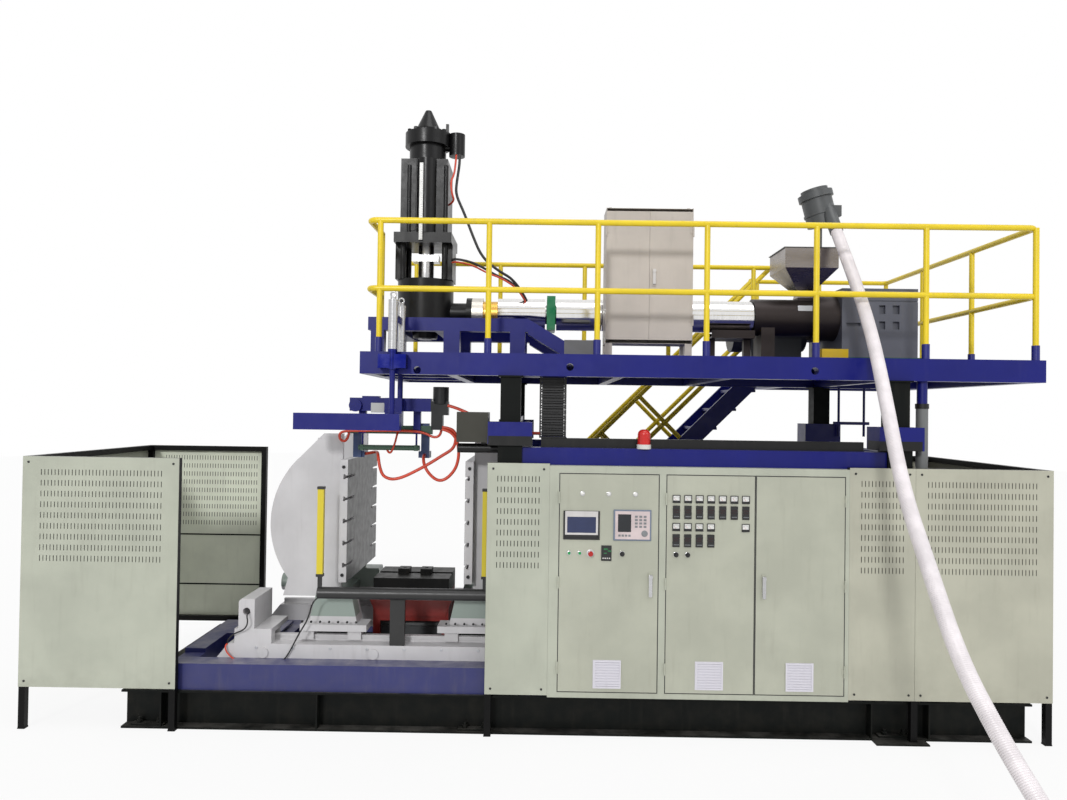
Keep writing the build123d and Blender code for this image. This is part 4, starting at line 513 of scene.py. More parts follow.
GRIPPER_ZONES = (
    ((-0.885, FRONT + 0.3, 2.36), (-0.73, FAR, 2.76), (0.010, 0.011, 0.012)),
    ((-1.60, FRONT + 0.49, 2.325), (-0.87, FRONT + 0.53, 2.405), (0.05, 0.10, 0.07)),
    ((-1.52, FRONT + 0.45, 2.17), (-0.96, FRONT + 0.494, 2.26), (0.07, 0.13, 0.09)),
    ((-1.46, FRONT + 0.03, 2.51), (-1.26, FRONT + 0.35, 2.70), (0.50, 0.50, 0.49)),
)
SLEEVE_ZONES = (((-FAR, -FAR, 2.0), (FAR, FAR, 3.01), (0.004, 0.008, 0.15)),)
VENT_ZONES = tuple(
    ((x - 0.109, -FAR, 0.39), (x + 0.109, FRONT + 0.001, 0.61), (0.60, 0.585, 0.64)) for x in (0.5705, 1.3635, 2.066)
)
BEACON_ZONES = (((-FAR, -FAR, 2.0), (FAR, FAR, 2.286), (0.62, 0.62, 0.60)),)
BARREL_ZONES = (
    ((-0.61, -2, 3.2), (-0.5, 2, 3.6), (0.72, 0.68, 0.62)),
    ((-0.5, -2, 3.2), (-0.36, 2, 3.6), (0.72, 0.42, 0.10)),
    ((0.07, -2, 3.2), (0.16, 2, 3.6), (0.01, 0.12, 0.05)),
)
CURTAIN_ZONES = (((-1.8, -2, 1.205), (-0.37, 0, 1.885), (0.62, 0.50, 0.02)),)

PLASTICS = (
    # name, tone, roughness
    ("instrument pink", (0.62, 0.52, 0.52), 0.4),
    ("instrument white", (0.72, 0.72, 0.70), 0.3),
    ("key grey", (0.20, 0.21, 0.22), 0.45),
    ("screen blue", (0.02, 0.03, 0.09), 0.12),
    ("lamp white", (0.75, 0.74, 0.72), 0.2),
    ("digits green", (0.02, 0.16, 0.05), 0.3),
    ("digits red", (0.020, 0.006, 0.006), 0.2),
    ("black plastic", (0.006, 0.006, 0.0065), 0.5),
    ("green plastic", (0.01, 0.30, 0.07), 0.3),
    ("red plastic", (0.42, 0.01, 0.008), 0.3),
    ("lamp red", (0.55, 0.012, 0.01), 0.2),
    ("hose white", (0.82, 0.77, 0.79), 0.4),
    ("hose orange", (0.62, 0.055, 0.02), 0.4),
    ("screen", (0.012, 0.014, 0.018), 0.12),
)
METALS = (
    # name, tone, roughness, scale of its lines along each axis, smears, metallic
    ("polished cover", (0.86, 0.85, 0.84), 0.12, (60.0, 1.0, 1.0), 0.12, 1.0),
    ("ground steel", (0.62, 0.62, 0.63), 0.28, (40.0, 1.0, 1.0), 0.3, 1.0),
    ("hopper steel", (0.30, 0.27, 0.255), 0.27, (1.0, 1.0, 40.0), 0.25, 1.0),
    ("dark cast", (0.035, 0.027, 0.026), 0.42, (20.0, 20.0, 20.0), 0.4, 0.7),
    ("zinc", (0.55, 0.56, 0.58), 0.42, (30.0, 1.0, 30.0), 0.2, 1.0),
)
FINISHED_NODES = {
    "base black": ("base_skid", "lift_columns"),
    "bed blue": ("clamp_bed",),
    "clamp grey": ("rail_beams",),
    "platen grey": ("left_platen", "right_platen"),
    "spreader red": ("spreader_base",),
    "frame black": ("spreader_table", "spreader_pin_left", "spreader_pin_right", "guard_frames"),
    "barrier": ("light_barrier",),
    "motor grey": ("hydraulics", "main_motor", "feeder_head"),
    "frame blue": ("column_frame",),
    "panel paint": ("left_guard_panels", "control_cabinet"),
    "door paint": ("door_1", "door_2", "door_3"),
    "upper paint": ("upper_cabinet", "upper_door_left", "upper_door_right"),
    "cabinet white": ("upper_handle",),
    "panel paint warm": ("right_guard_panels",),
    "zinc": ("cabinet_backplates",),
    "black plastic": ("door_1_instruments", "door_2_instruments", "selector_knob", "knob_a", "knob_b"),
    "black rubber": ("cable_carrier",),
    "ground steel": ("handle_1", "handle_3", "head_piston", "die_mandrel", "extruder_screw", "motor_rotor"),
    "green plastic": ("start_button", "stop_button"),
    "red plastic": ("estop_button",),
    "deck blue": ("deck_plates", "stairs"),
    "deck frame blue": ("platform_frame",),
    "stand blue": ("head_stand",),
    "gripper paint": ("grip_frame",),
    "gripper sleeves": ("grip_bracket",),
    "rail yellow": ("handrails",),
    "head black": ("head_body", "head_tower"),
    "barrel parts": ("extruder_barrel",),
    "polished cover": ("barrel_covers",),
    "dark cast": ("feed_housing",),
    "gear grey": ("gearbox",),
    "hopper steel": ("hopper",),
    "beacon parts": ("beacon",),
    "hose white": ("feed_hose",),
    "jaw blue": ("grip_jaw_left", "grip_jaw_right"),
}


class MACHINE_OT_finishes(bpy.types.Operator):
    """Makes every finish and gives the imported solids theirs"""

    bl_idname = "machine.finishes"
    bl_label = "Finishes"

    def execute(self, context):
        tones = context.scene.machine_colours
        # The left guard's rear sheets face inward, in shade; their tone is the panel tone brightened 1.7 times (at
        # most 0.8), painted light that lifts that shade.
        inside = tuple(min(part * 1.7, 0.8) for part in tones.panels)
        painted("panel paint", tones.panels, 0.46, dust=0.15, dirt=0.22)
        painted("panel paint warm", dimmed(tones.panels, 1.0, 0.95, 0.93), 0.46, dust=0.15, dirt=0.2)
        painted("panel inside painted light", inside, 0.5, dust=0.2, dirt=0.2)
        painted("door paint", dimmed(tones.panels, 0.98, 0.96, 0.95), 0.46, dust=0.1, dirt=0.1, zones=VENT_ZONES)
        painted("upper paint", (0.52, 0.47, 0.42), 0.46, dust=0.1)
        blue = {"roughness": 0.36, "dust": 0.06, "under": (0.05, 0.06, 0.10), "specular": 0.3, "streak": 0.03}
        painted("deck blue", tones.deck, chips=0.4, **blue)
        painted("stand blue", tones.deck, chips=0.4, zones=STAND_ZONES, **blue)
        painted("deck frame blue", tones.deck, chips=0.4, zones=PLATFORM_ZONES, **blue)
        painted("gripper paint", tones.deck, chips=0.3, zones=GRIPPER_ZONES, **blue)
        painted("frame blue", tones.deck, 0.36, 0.15, chips=0.3, specular=0.3, streak=0.03, zones=FRAME_ZONES)
        painted("bed blue", (0.022, 0.026, 0.13), 0.4, dust=0.42, chips=0.5, dirt=0.2, under=(0.2, 0.2, 0.22))
        rail_zones = [(*socket, tuple(tones.deck)) for socket in DECK_SOCKETS] + [DECK_BOX]
        painted("rail yellow", tones.rails, 0.36, dust=0.08, chips=0.5, under=(0.07, 0.05, 0.03), zones=rail_zones)
        base = {"under": (0.05, 0.05, 0.05), "specular": 0.1, "streak": 0.03}
        painted("base black", tones.base, 0.5, dust=0.16, chips=0.2, dirt=0.05, **base)
        painted("frame black", (0.004, 0.004, 0.004), 0.42, dust=0.05, specular=0.12, streak=0.03)
        painted("head black", (0.004, 0.004, 0.0045), 0.34, dust=0.04, specular=0.25, streak=0.03)
        bare = {"roughness": 0.4, "under": (0.2, 0.2, 0.2)}
        painted("clamp grey", tones.clamp, dust=0.08, chips=0.35, **bare)
        # Platen paint with painted shade on the mould faces and on the carriages' feet.
        painted("platen grey", tones.clamp, dust=0.05, chips=0.2, zones=PLATEN_SHADE_ZONES, **bare)
        painted("gear grey", (0.095, 0.10, 0.125), 0.4, dust=0.3, chips=0.3, zones=GEAR_ZONES)
        painted("motor grey", (0.07, 0.075, 0.078), 0.45, dust=0.2, chips=0.2)
        painted("spreader red", (0.20, 0.012, 0.008), 0.4, dust=0.15, chips=0.4)
        painted("jaw blue", (0.02, 0.05, 0.16), 0.4, dust=0.2, chips=0.4)
        painted("controller blue", (0.16, 0.20, 0.27), 0.4, dust=0.05)
        painted("cabinet white", (0.60, 0.58, 0.57), 0.4, dust=0.05)
        painted("beacon parts", (0.60, 0.015, 0.012), 0.25, dust=0.1, zones=BEACON_ZONES)
        for name, tone, roughness, lines, wear, metallic in METALS:
            bare_metal(name, tone, roughness, lines, wear, metallic)
        bare_metal("gripper sleeves", (0.55, 0.55, 0.56), 0.25, (1.0, 1.0, 40.0), 0.2, zones=SLEEVE_ZONES)
        bare_metal("barrel parts", (0.5, 0.49, 0.48), 0.3, (30.0, 1.0, 1.0), 0.3, zones=BARREL_ZONES)
        for name, tone, roughness in PLASTICS:
            moulded(name, tone, roughness)
        moulded("black rubber", (0.015, 0.015, 0.016), 0.6, 500.0)
        moulded("barrier", (0.012, 0.012, 0.012), 0.4, zones=CURTAIN_ZONES)
        for finish, nodes in FINISHED_NODES.items():
            dress(nodes, finish)
        return {"FINISHED"}


HOSE_PLACES = (
    (2.567, 0.660, 4.124), (2.587, 0.480, 3.858), (2.634, 0.350, 3.574), (2.628, 0.050, 3.174),
    (2.583, -0.300, 2.690), (2.510, -0.750, 2.050), (2.430, -1.300, 1.600), (2.410, -1.700, 1.165),
    (2.450, -2.040, 0.857), (2.510, -2.300, 0.620), (2.580, -2.600, 0.350), (2.650, -2.850, 0.100),
)
HOSE_ROUTE = [at(*place) for place in HOSE_PLACES]


class MACHINE_OT_feed_hose(bpy.types.Operator):
    """The ribbed feed hose from the feeder's outlet to its open end on the floor"""

    bl_idname = "machine.feed_hose"
    bl_label = "Feed Hose"

    def execute(self, context):
        sizes = context.scene.machine_sizes
        radius = sizes.hose_diameter / 2
        points, length = sampled(HOSE_ROUTE, sizes.hose_pitch / 4)
        depths = (0.0, 0.5, 1.0, 0.5)
        shape = Shape().tube(points, lambda number: radius - 0.0022 * depths[number % 4], 28)
        made = shape.piece("feed_hose_ribbed", "hose white", "platform", "hose")
        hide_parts("feed_hose")
        return {"FINISHED"}


def slot_lines(low, high, centre, count, pitch, size):
    """The lines of a sheet one way: its ends and both edges of every slot."""
    lines = [low]
    for number in range(count):
        middle = centre + (number - (count - 1) / 2) * pitch
        lines += [middle - size / 2, middle + size / 2]
    return [*lines, high]


LENGTH_ENDS = (-4.025, 4.025)
REAR = 2.06
SHEET = 0.003
HIGH = (0.33, 2.13)
SLOTS = {"rows": 9, "centre": 1.671, "pitch_z": 0.084, "height": 0.045, "pitch_x": 0.027, "width": 0.006}
SHEETS = (
    # name, node, finish, side, ends, levels, columns, centre of the slots
    ("sheet_left_front", "left_guard_panels", "panel paint", "front", (-4.025, -2.795), HIGH, 36, -3.405),
    ("sheet_left_side", "left_guard_panels", "panel paint", "left", (0.0, REAR), HIGH, 0, 0.0),
    # The rear sheets' inner faces take the brightened panel tone: painted light on faces in shade.
    ("sheet_left_rear_low", "left_guard_panels", "panel inside painted light", "rear", (-4.025, -2.795), (0.33, 0.698), 0, 0.0),
    ("sheet_left_rear_middle", "left_guard_panels", "panel inside painted light", "rear", (-4.025, -2.795), (0.70, 1.211), 0, 0.0),
    ("sheet_left_rear_high", "left_guard_panels", "panel inside painted light", "rear", (-4.025, -2.795), (1.213, 2.13), 36, -3.38),
    ("sheet_narrow_front", "right_guard_panels", "panel paint", "front", (-0.379, 0.107), HIGH, 13, -0.136),
    ("sheet_vent_front", "right_guard_panels", "panel paint warm", "front", (2.445, 2.956), HIGH, 13, 2.7005),
    ("sheet_end_front", "right_guard_panels", "panel paint warm", "front", (2.958, 4.025), HIGH, 32, 3.4745),
    ("sheet_right_side", "right_guard_panels", "panel paint warm", "right", (0.0, REAR), HIGH, 0, 0.0),
    ("sheet_right_rear", "right_guard_panels", "panel paint warm", "rear", (2.958, 4.025), HIGH, 32, 3.4745),
)
SHEET_PLACES = {
    "front": lambda u, w, depth: at(u, depth, w),
    "rear": lambda u, w, depth: at(u, REAR - depth, w),
    "left": lambda u, w, depth: at(LENGTH_ENDS[0] + depth, u, w),
    "right": lambda u, w, depth: at(LENGTH_ENDS[1] - depth, u, w),
}


class MACHINE_OT_guard_sheets(bpy.types.Operator):
    """The guards' sheets with their rows of upright slots, and the screws at their corners"""

    bl_idname = "machine.guard_sheets"
    bl_label = "Guard Sheets"

    def execute(self, context):
        inset = 0.045
        screws = Shape()
        for name, node, finish, side, (low, high), (bottom, top), columns, centre in SHEETS:
            place = SHEET_PLACES[side]
            if side in ("left", "right"):
                low, high = low + SHEET, high - SHEET
            across = slot_lines(low, high, centre, columns, SLOTS["pitch_x"], SLOTS["width"])
            rows = SLOTS["rows"] if columns else 0
            along = slot_lines(bottom, top, SLOTS["centre"], rows, SLOTS["pitch_z"], SLOTS["height"])
            shape = Shape().sheet(across, along, place, SHEET)
            made = shape.piece(name, finish, "machine", "cream_green", smooth=False)
            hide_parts(node)
            if side == "front":
                for x in (low + inset, high - inset):
                    for z in (bottom + inset, top - inset):
                        screws.screw(at(x, 0.0, z), (0, -1, 0), 0.009, 0.004)
        screws.piece("guard_screws", "black plastic", "machine")
        meshes = Shape()
        for *_, side, _, _, columns, centre in SHEETS:
            if columns:
                reach = (columns / 2) * SLOTS["pitch_x"]
                near, far = (0.0016, 0.0021) if side == "front" else (2.0579, 2.0584)
                meshes.box(at(centre - reach, near, 1.30), at(centre + reach, far, 2.04))
        meshes.piece("vent_meshes", "frame black", "machine", smooth=False)
        strips = Shape()
        for z in (0.699, 1.212):
            strips.box(at(-3.97, 2.0553, z - 0.007), at(-2.85, 2.0569, z + 0.007))
        strips.piece("rear_joint_strips", "frame black", "machine", "black_steel", smooth=False)
        return {"FINISHED"}


class MACHINE_OT_door_edges(bpy.types.Operator):
    """Rubber edge seals round the cabinet doors; their dark strips also stand in for painted shade in the gaps round
    the doors
    """

    bl_idname = "machine.door_edges"
    bl_label = "Door Edges"

    def execute(self, context):
        doors = (("door_1", 0.1835, 0.9645), ("door_2", 1.0185, 1.7125), ("door_3", 1.7155, 2.4135))
        for node, left, right in doors:
            low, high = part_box(node)
            # Each seal is a rubber strip whose dark colour also paints the shade line in the door's gap.
            gap_shade_seal = Shape().frame((left, low[2]), (right, high[2]), 0.006, -0.0012, 0.0004)
            gap_shade_seal.piece(f"{node}_seal", "black rubber", f"front_{node}", smooth=False)
        return {"FINISHED"}


def dial(shape, x, z, radius, depth, bore=0.0):
    """A round bezel on a door, or a collar round a button's stem."""
    profile = ((0.0, radius), (depth - 0.001, radius), (depth, radius * 0.86))
    if bore:
        profile = ((0.0, bore), *profile, (depth, bore))
    shape.lathe(at(x, 0.0, z), at(x, -depth, z), profile, 28, bool(bore))


def plate(name, finish, body, low, high, bevel=0.0, smooth=True, slot="plastic_black"):
    """A block between two corners, each given behind the guards' front faces."""
    return Shape().box(at(*low), at(*high)).piece(name, finish, body, slot, bevel, smooth)


BUTTONS_Z = 1.437
LAMPS_Z = 1.900
METERS_X = 1.097
METERS_PITCH = 0.09
TIMER_LINES = ((0.536, 1.478, 0.030, 0.012), (0.566, 1.462, 0.028, 0.010), (0.536, 1.444, 0.024, 0.008))
DIAL_PROFILE = ((0, 0.025), (0.003, 0.025), (0.004, 0.018), (0.0055, 0.017))
DOME_PROFILE = ((0, 0.0135), (0.005, 0.0125), (0.009, 0.0095), (0.0115, 0.004))


class MACHINE_OT_instruments(bpy.types.Operator):
    """Displays, meters, controllers and lamps on the first and second cabinet doors"""

    bl_idname = "machine.instruments"
    bl_label = "Instruments"

    def execute(self, context):
        first, second = "front_door_1", "front_door_2"
        black = Shape().frame((0.218, 1.542), (0.502, 1.766), 0.014, -0.009, 0.0)
        black.box(at(0.232, -0.004, 1.556), at(0.488, 0.0, 1.752))
        made = black.piece("display_case", "black plastic", first, bevel=0.002)
        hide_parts("door_1_instruments")
        rim = Shape().frame((0.232, 1.580), (0.488, 1.764), 0.016, -0.0115, -0.009)
        rim.box(at(0.248, -0.0115, 1.720), at(0.472, -0.009, 1.748))
        rim.piece("display_frame", "cabinet white", first, bevel=0.001)
        plate("display_screen", "screen blue", first, (0.248, -0.0098, 1.596), (0.472, -0.009, 1.720), smooth=False)
        plate("controller_case", "controller blue", first, (0.608, -0.010, 1.539), (0.903, 0.0, 1.780), 0.004)
        plate("controller_face", "instrument pink", first, (0.621, -0.0125, 1.551), (0.891, -0.010, 1.769), 0.002)
        plate("controller_screen", "screen", first, (0.643, -0.0135, 1.608), (0.745, -0.0125, 1.745), smooth=False)
        keys = Shape()
        for column in range(3):
            for row in range(4):
                x, z = 0.785 + column * 0.034, 1.650 + row * 0.026
                keys.box(at(x - 0.011, -0.0145, z - 0.008), at(x + 0.011, -0.0125, z + 0.008))
        for column in range(4):
            keys.box(at(0.646 + column * 0.026, -0.0145, 1.572), at(0.664 + column * 0.026, -0.0125, 1.588))
        keys.piece("controller_keys", "key grey", first, bevel=0.001)
        knob = Shape().lathe(at(0.850, -0.0125, 1.597), at(0.850, -1, 1.597), DIAL_PROFILE, 32)
        knob.piece("controller_dial", "key grey", first)
        plate("timer_case", "black plastic", first, (0.516, -0.009, 1.380), (0.596, 0.0, 1.500), 0.003)
        lit = Shape()
        for x, z, wide, high in TIMER_LINES:
            lit.box(at(x, -0.0098, z - high), at(x + wide, -0.009, z))
        lit.piece("timer_display", "digits green", first, smooth=False)
        buttons = Shape()
        for number in range(4):
            x = 0.531 + number * 0.0165
            buttons.box(at(x - 0.005, -0.0105, 1.396), at(x + 0.005, -0.009, 1.406))
        buttons.piece("timer_keys", "cabinet white", first, bevel=0.001)
        rings, domes = Shape(), Shape()
        for x in (0.365, 0.571, 0.778):
            dial(rings, x, LAMPS_Z, 0.018, 0.006)
            domes.lathe(at(x, -0.006, LAMPS_Z), at(x, -1, LAMPS_Z), DOME_PROFILE, 24)
        rings.piece("lamp_rings", "ground steel", first, "polished_steel")
        domes.piece("lamp_domes", "lamp white", first)
        collars = Shape()
        for x in (0.266, 0.349):
            dial(collars, x, BUTTONS_Z, 0.0165, 0.0045, 0.0116)
        dial(collars, 0.432, BUTTONS_Z, 0.029, 0.004, 0.0106)
        dial(collars, 0.678, BUTTONS_Z, 0.0205, 0.0058)
        collars.piece("button_collars", "ground steel", first, "polished_steel")
        cases, faces, needles, scales = Shape(), Shape(), Shape(), Shape()
        for z, numbers in ((1.869, range(7)), (1.651, (0, 1, 2, 3, 6))):
            for number in numbers:
                x = METERS_X + number * METERS_PITCH
                cases.frame((x - 0.030, z - 0.031), (x + 0.030, z + 0.031), 0.0045, -0.009, -0.0005)
                cases.box(at(x - 0.0255, -0.0045, z - 0.0265), at(x + 0.0255, -0.0005, z + 0.0265))
                cases.box(at(x - 0.0255, -0.0065, z - 0.0265), at(x + 0.0255, -0.0045, z - 0.0125))
                faces.box(at(x - 0.0245, -0.0052, z - 0.012), at(x + 0.0245, -0.0045, z + 0.0255))
                lean = Matrix.Translation(at(x, -0.0056, z - 0.010)) @ Matrix.Rotation(math.radians(48), 4, "Y")
                swing = Matrix.Rotation(math.radians(-96 + 3 * number), 4, "Y")
                needles.box((-0.0006, -0.0003, 0.0), (0.0006, 0.0003, 0.026), lean @ swing)
                for mark in range(9):
                    turn = Matrix.Rotation(math.radians(-48 + 12 * mark), 4, "Y")
                    place = Matrix.Translation(at(x, -0.0054, z - 0.010)) @ turn
                    scales.box((-0.0005, -0.0001, 0.024), (0.0005, 0.0001, 0.030), place)
        made = cases.piece("meter_cases", "black plastic", second)
        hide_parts("door_2_instruments")
        faces.piece("meter_faces", "instrument white", second, smooth=False)
        needles.piece("meter_needles", "lamp red", second, smooth=False)
        scales.piece("meter_scales", "black plastic", second, smooth=False)
        bodies, windows, keys, collars = Shape(), Shape(), Shape(), Shape()
        for z, height, numbers in ((1.766, 0.104, range(7)), (1.546, 0.100, range(4))):
            for number in numbers:
                x = METERS_X + number * METERS_PITCH
                bodies.box(at(x - 0.028, -0.009, z - height / 2), at(x + 0.028, 0.0, z + height / 2))
                windows.box(at(x - 0.020, -0.0096, z + 0.012), at(x + 0.020, -0.009, z + 0.024))
                windows.box(at(x - 0.020, -0.0096, z - 0.006), at(x + 0.016, -0.009, z + 0.004))
                for step in range(4):
                    left = x - 0.019 + step * 0.0105
                    right = x - 0.0115 + step * 0.0105
                    keys.box(at(left, -0.0102, z - 0.036), at(right, -0.009, z - 0.029))
        bodies.piece("regulator_cases", "black plastic", second, bevel=0.002)
        windows.piece("regulator_digits", "digits red", second, smooth=False)
        keys.piece("regulator_keys", "key grey", second, smooth=False)
        for x in (METERS_X, METERS_X + METERS_PITCH):
            dial(collars, x, BUTTONS_Z, 0.0205, 0.0058)
        collars.piece("knob_collars", "ground steel", second, "polished_steel")
        return {"FINISHED"}


HOSES = (
    # name, its body or two bodies, where the bend between them starts and ends, finish, diameter, points
    ("grip_supply", ("gripper", "platform"), ((-0.55, 0.355, 2.5), (-0.02, 0.3, 2.35)), "hose orange", 0.026, (
        (-0.742, 0.4, 2.574), (-0.69, 0.395, 2.562), (-0.575, 0.36, 2.517), (-0.413, 0.34, 2.44),
        (-0.223, 0.32, 2.372), (-0.079, 0.305, 2.356), (0.026, 0.305, 2.356))),
    ("jaw_left_hose", ("gripper", "jaw_left"), ((-0.923, 0.4, 2.067), (-1.43, 0.6, 2.14)), "hose orange", 0.026, (
        (-0.787, 0.4, 2.392), (-0.69, 0.4, 2.385), (-0.668, 0.4, 2.3), (-0.69, 0.4, 2.215),
        (-0.78, 0.4, 2.16), (-0.923, 0.4, 2.067), (-1.154, 0.4, 1.948), (-1.268, 0.4, 1.968),
        (-1.302, 0.4, 2.05), (-1.316, 0.41, 2.13), (-1.34, 0.5, 2.172), (-1.376, 0.585, 2.172),
        (-1.43, 0.625, 2.16), (-1.474, 0.625, 2.152))),
    ("jaw_right_hose", ("gripper", "jaw_right"), ((-0.673, 0.4, 2.042), (-0.95, 0.46, 2.14)), "hose orange", 0.026, (
        (-0.787, 0.385, 2.378), (-0.715, 0.385, 2.362), (-0.66, 0.39, 2.29), (-0.645, 0.395, 2.203),
        (-0.648, 0.4, 2.129), (-0.673, 0.4, 2.042), (-0.746, 0.4, 1.961), (-0.818, 0.4, 1.945),
        (-0.891, 0.4, 2.003), (-0.935, 0.41, 2.075), (-0.95, 0.46, 2.145), (-0.955, 0.568, 2.152))),
    ("beam_hose", "gripper", None, "hose orange", 0.022, (
        (-0.8, 0.45, 2.374), (-0.803, 0.45, 2.325), (-0.86, 0.45, 2.3), (-0.95, 0.46, 2.35),
        (-1.114, 0.47, 2.358), (-1.38, 0.47, 2.354), (-1.601, 0.47, 2.351), (-1.665, 0.475, 2.33),
        (-1.655, 0.488, 2.265), (-1.6, 0.498, 2.262), (-1.585, 0.5, 2.333))),
    ("beam_hose_short", "gripper", None, "hose orange", 0.018, (
        (-1.172, 0.498, 2.345), (-1.172, 0.468, 2.335), (-1.193, 0.462, 2.236), (-1.232, 0.468, 2.15),
        (-1.258, 0.486, 2.193))),
    ("head_hose_high", "platform", None, "black rubber", 0.024, (
        (-0.735, 0.962, 4.853), (-0.73, 0.955, 4.78), (-0.752, 0.9, 4.577), (-0.755, 0.88, 4.465),
        (-0.677, 0.85, 4.301), (-0.596, 0.85, 4.092), (-0.515, 0.85, 3.909), (-0.383, 0.86, 3.795),
        (-0.198, 0.87, 3.694), (-0.11, 0.946, 3.534))),
    ("head_hose_red", "platform", None, "hose orange", 0.018, (
        (-0.765, 0.96, 4.853), (-0.765, 0.93, 4.784), (-0.769, 0.86, 4.644), (-0.794, 0.8, 4.56),
        (-0.779, 0.79, 4.443), (-0.76, 0.84, 4.395), (-0.821, 0.9, 4.375))),
    ("head_hose_low", "platform", None, "black rubber", 0.022, (
        (-0.777, 0.868, 3.877), (-0.751, 0.8, 3.877), (-0.614, 0.8, 3.853), (-0.511, 0.82, 3.812),
        (-0.395, 0.85, 3.747), (-0.251, 0.87, 3.693), (-0.16, 0.9, 3.6), (-0.12, 0.96, 3.54))),
    ("head_hose_low_red", "platform", None, "hose orange", 0.016, (
        (-0.777, 0.868, 3.853), (-0.748, 0.78, 3.85), (-0.586, 0.78, 3.817), (-0.457, 0.8, 3.751),
        (-0.327, 0.82, 3.71), (-0.17, 0.84, 3.611), (-0.118, 0.923, 3.516))),
    ("rail_cable_a", "machine", None, "black rubber", 0.012, (
        (-1.746, 0.212, 1.006), (-1.789, 0.215, 0.985), (-1.828, 0.22, 0.825), (-1.893, 0.22, 0.724),
        (-1.995, 0.225, 0.518), (-2.045, 0.225, 0.49), (-2.061, 0.25, 0.48))),
    ("rail_cable_b", "machine", None, "hose orange", 0.012, (
        (-2.486, 0.25, 0.616), (-2.5, 0.225, 0.61), (-2.475, 0.225, 0.535), (-2.345, 0.22, 0.455),
        (-2.24, 0.222, 0.438), (-2.218, 0.25, 0.437))),
    ("rail_cable_c", "machine", None, "black rubber", 0.012, (
        (-2.308, 0.25, 0.871), (-2.325, 0.215, 0.868), (-2.299, 0.19, 0.806), (-2.333, 0.205, 0.742),
        (-2.421, 0.215, 0.71), (-2.48, 0.225, 0.65), (-2.484, 0.25, 0.622))),
)


class MACHINE_OT_hoses(bpy.types.Operator):
    """Pneumatic and hydraulic hoses of the gripper and the head, and the cables at the rails"""

    bl_idname = "machine.hoses"
    bl_label = "Hoses"

    def execute(self, context):
        for name, bodies, bend, finish, diameter, places in HOSES:
            route_points = [at(*place) for place in places]
            if bend is None:
                cable(name, route_points, diameter, finish, bodies)
                continue
            points, length = sampled(route_points, 0.015)
            made = Shape().tube(points, diameter / 2, 14).piece(name, finish, bodies[0], "hose")
            made.parent = None
            tuple(at(*bend[0]))
            tuple(at(*bend[1]))
            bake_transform(made)
        return {"FINISHED"}


class MACHINE_OT_clamp_fittings(bpy.types.Operator):
    """Cap screws of the carriages, the mould plates and the rail beams"""

    bl_idname = "machine.clamp_fittings"
    bl_label = "Clamp Fittings"

    def execute(self, context):
        for name, first, plate_x in (("left", -1.895, -1.605), ("right", -0.790, -0.555)):
            body = f"{name}_clamp"
            screws = Shape()
            for number in range(7):
                x = first + number * 0.0735
                screws.screw(at(x, 0.300, 0.792), (0, -1, 0), 0.0095, 0.009)
            screws.piece(f"{name}_strip_screws", "black plastic", body, "black_steel")
            eyes = Shape()
            for level in (1.150, 2.050):
                eyes.screw(at(plate_x, 0.420, level), (0, -1, 0), 0.014, 0.012)
            eyes.piece(f"{name}_platen_screws", "black plastic", body, "black_steel")
        plugs = Shape()
        for number in range(8):
            plugs.screw(at(-2.25 + number * 0.30, 0.250, 0.590), (0, -1, 0), 0.011, 0.007)
        plugs.piece("rail_beam_screws", "zinc", "machine", "black_steel")
        return {"FINISHED"}


class MACHINE_OT_cable_chain(bpy.types.Operator):
    """The cable carrier's chain of links between the base and the platform"""

    bl_idname = "machine.cable_chain"
    bl_label = "Cable Chain"

    def execute(self, context):
        (left, near, bottom), (right, far, top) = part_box("cable_carrier")
        chain = Shape()
        side = 0.014
        count = 11
        pitch = (top - bottom) / count
        for number in range(count):
            low = bottom + number * pitch
            for x in (left, right - side):
                chain.box((x, near, low + 0.001), (x + side, far, low + pitch - 0.001))
            for rise in (0.25, 0.62):
                z = low + rise * pitch
                chain.box((left + side, near + 0.004, z), (right - side, near + 0.012, z + pitch * 0.2))
                chain.box((left + side, far - 0.012, z), (right - side, far - 0.004, z + pitch * 0.2))
            chain.box((left + 0.02, near + 0.03, low), (right - 0.02, far - 0.03, low + pitch))
        made = chain.piece("cable_chain", "black plastic", "machine", smooth=False)
        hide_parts("cable_carrier")
        made.parent = None
        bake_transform(made)
        return {"FINISHED"}


class MACHINE_OT_head_fittings(bpy.types.Operator):
    """The head's scale, the rings on the gripper's guide sleeves and the plate at the feed housing"""

    bl_idname = "machine.head_fittings"
    bl_label = "Head Fittings"

    def execute(self, context):
        low, high = (-1.062, 0.7450, 4.03), (-1.030, 0.7580, 4.71)
        plate("head_scale", "instrument white", "platform", low, high, 0.001, slot="polished_steel")
        marks = Shape()
        for number in range(34):
            wide = 0.022 if number % 5 == 0 else 0.012
            marks.box(at(-1.030 - wide, 0.7445, 4.04 + number * 0.02), at(-1.030, 0.7450, 4.0415 + number * 0.02))
        marks.piece("head_scale_marks", "black plastic", "platform", smooth=False)
        rings = Shape()
        for y in (0.030, 0.400):
            centre = at(-1.142, y, 3.441)
            turns = [2 * math.pi * number / 24 for number in range(25)]
            loop = [centre + Vector((math.cos(turn), 0.0, math.sin(turn))) * 0.021 for turn in turns]
            rings.tube(loop, 0.007, 10)
        rings.piece("lifting_rings", "ground steel", "platform", "polished_steel")
        plate("feed_plate", "zinc", "platform", (2.306, 0.862, 3.45), (2.436, 0.90, 3.51), 0.003, slot="steel")
        return {"FINISHED"}


class Tree:
    """The world's node tree, with the one method that its maths needs."""

    def __init__(self, tree):
        self.tree = tree

    node = Surface.node


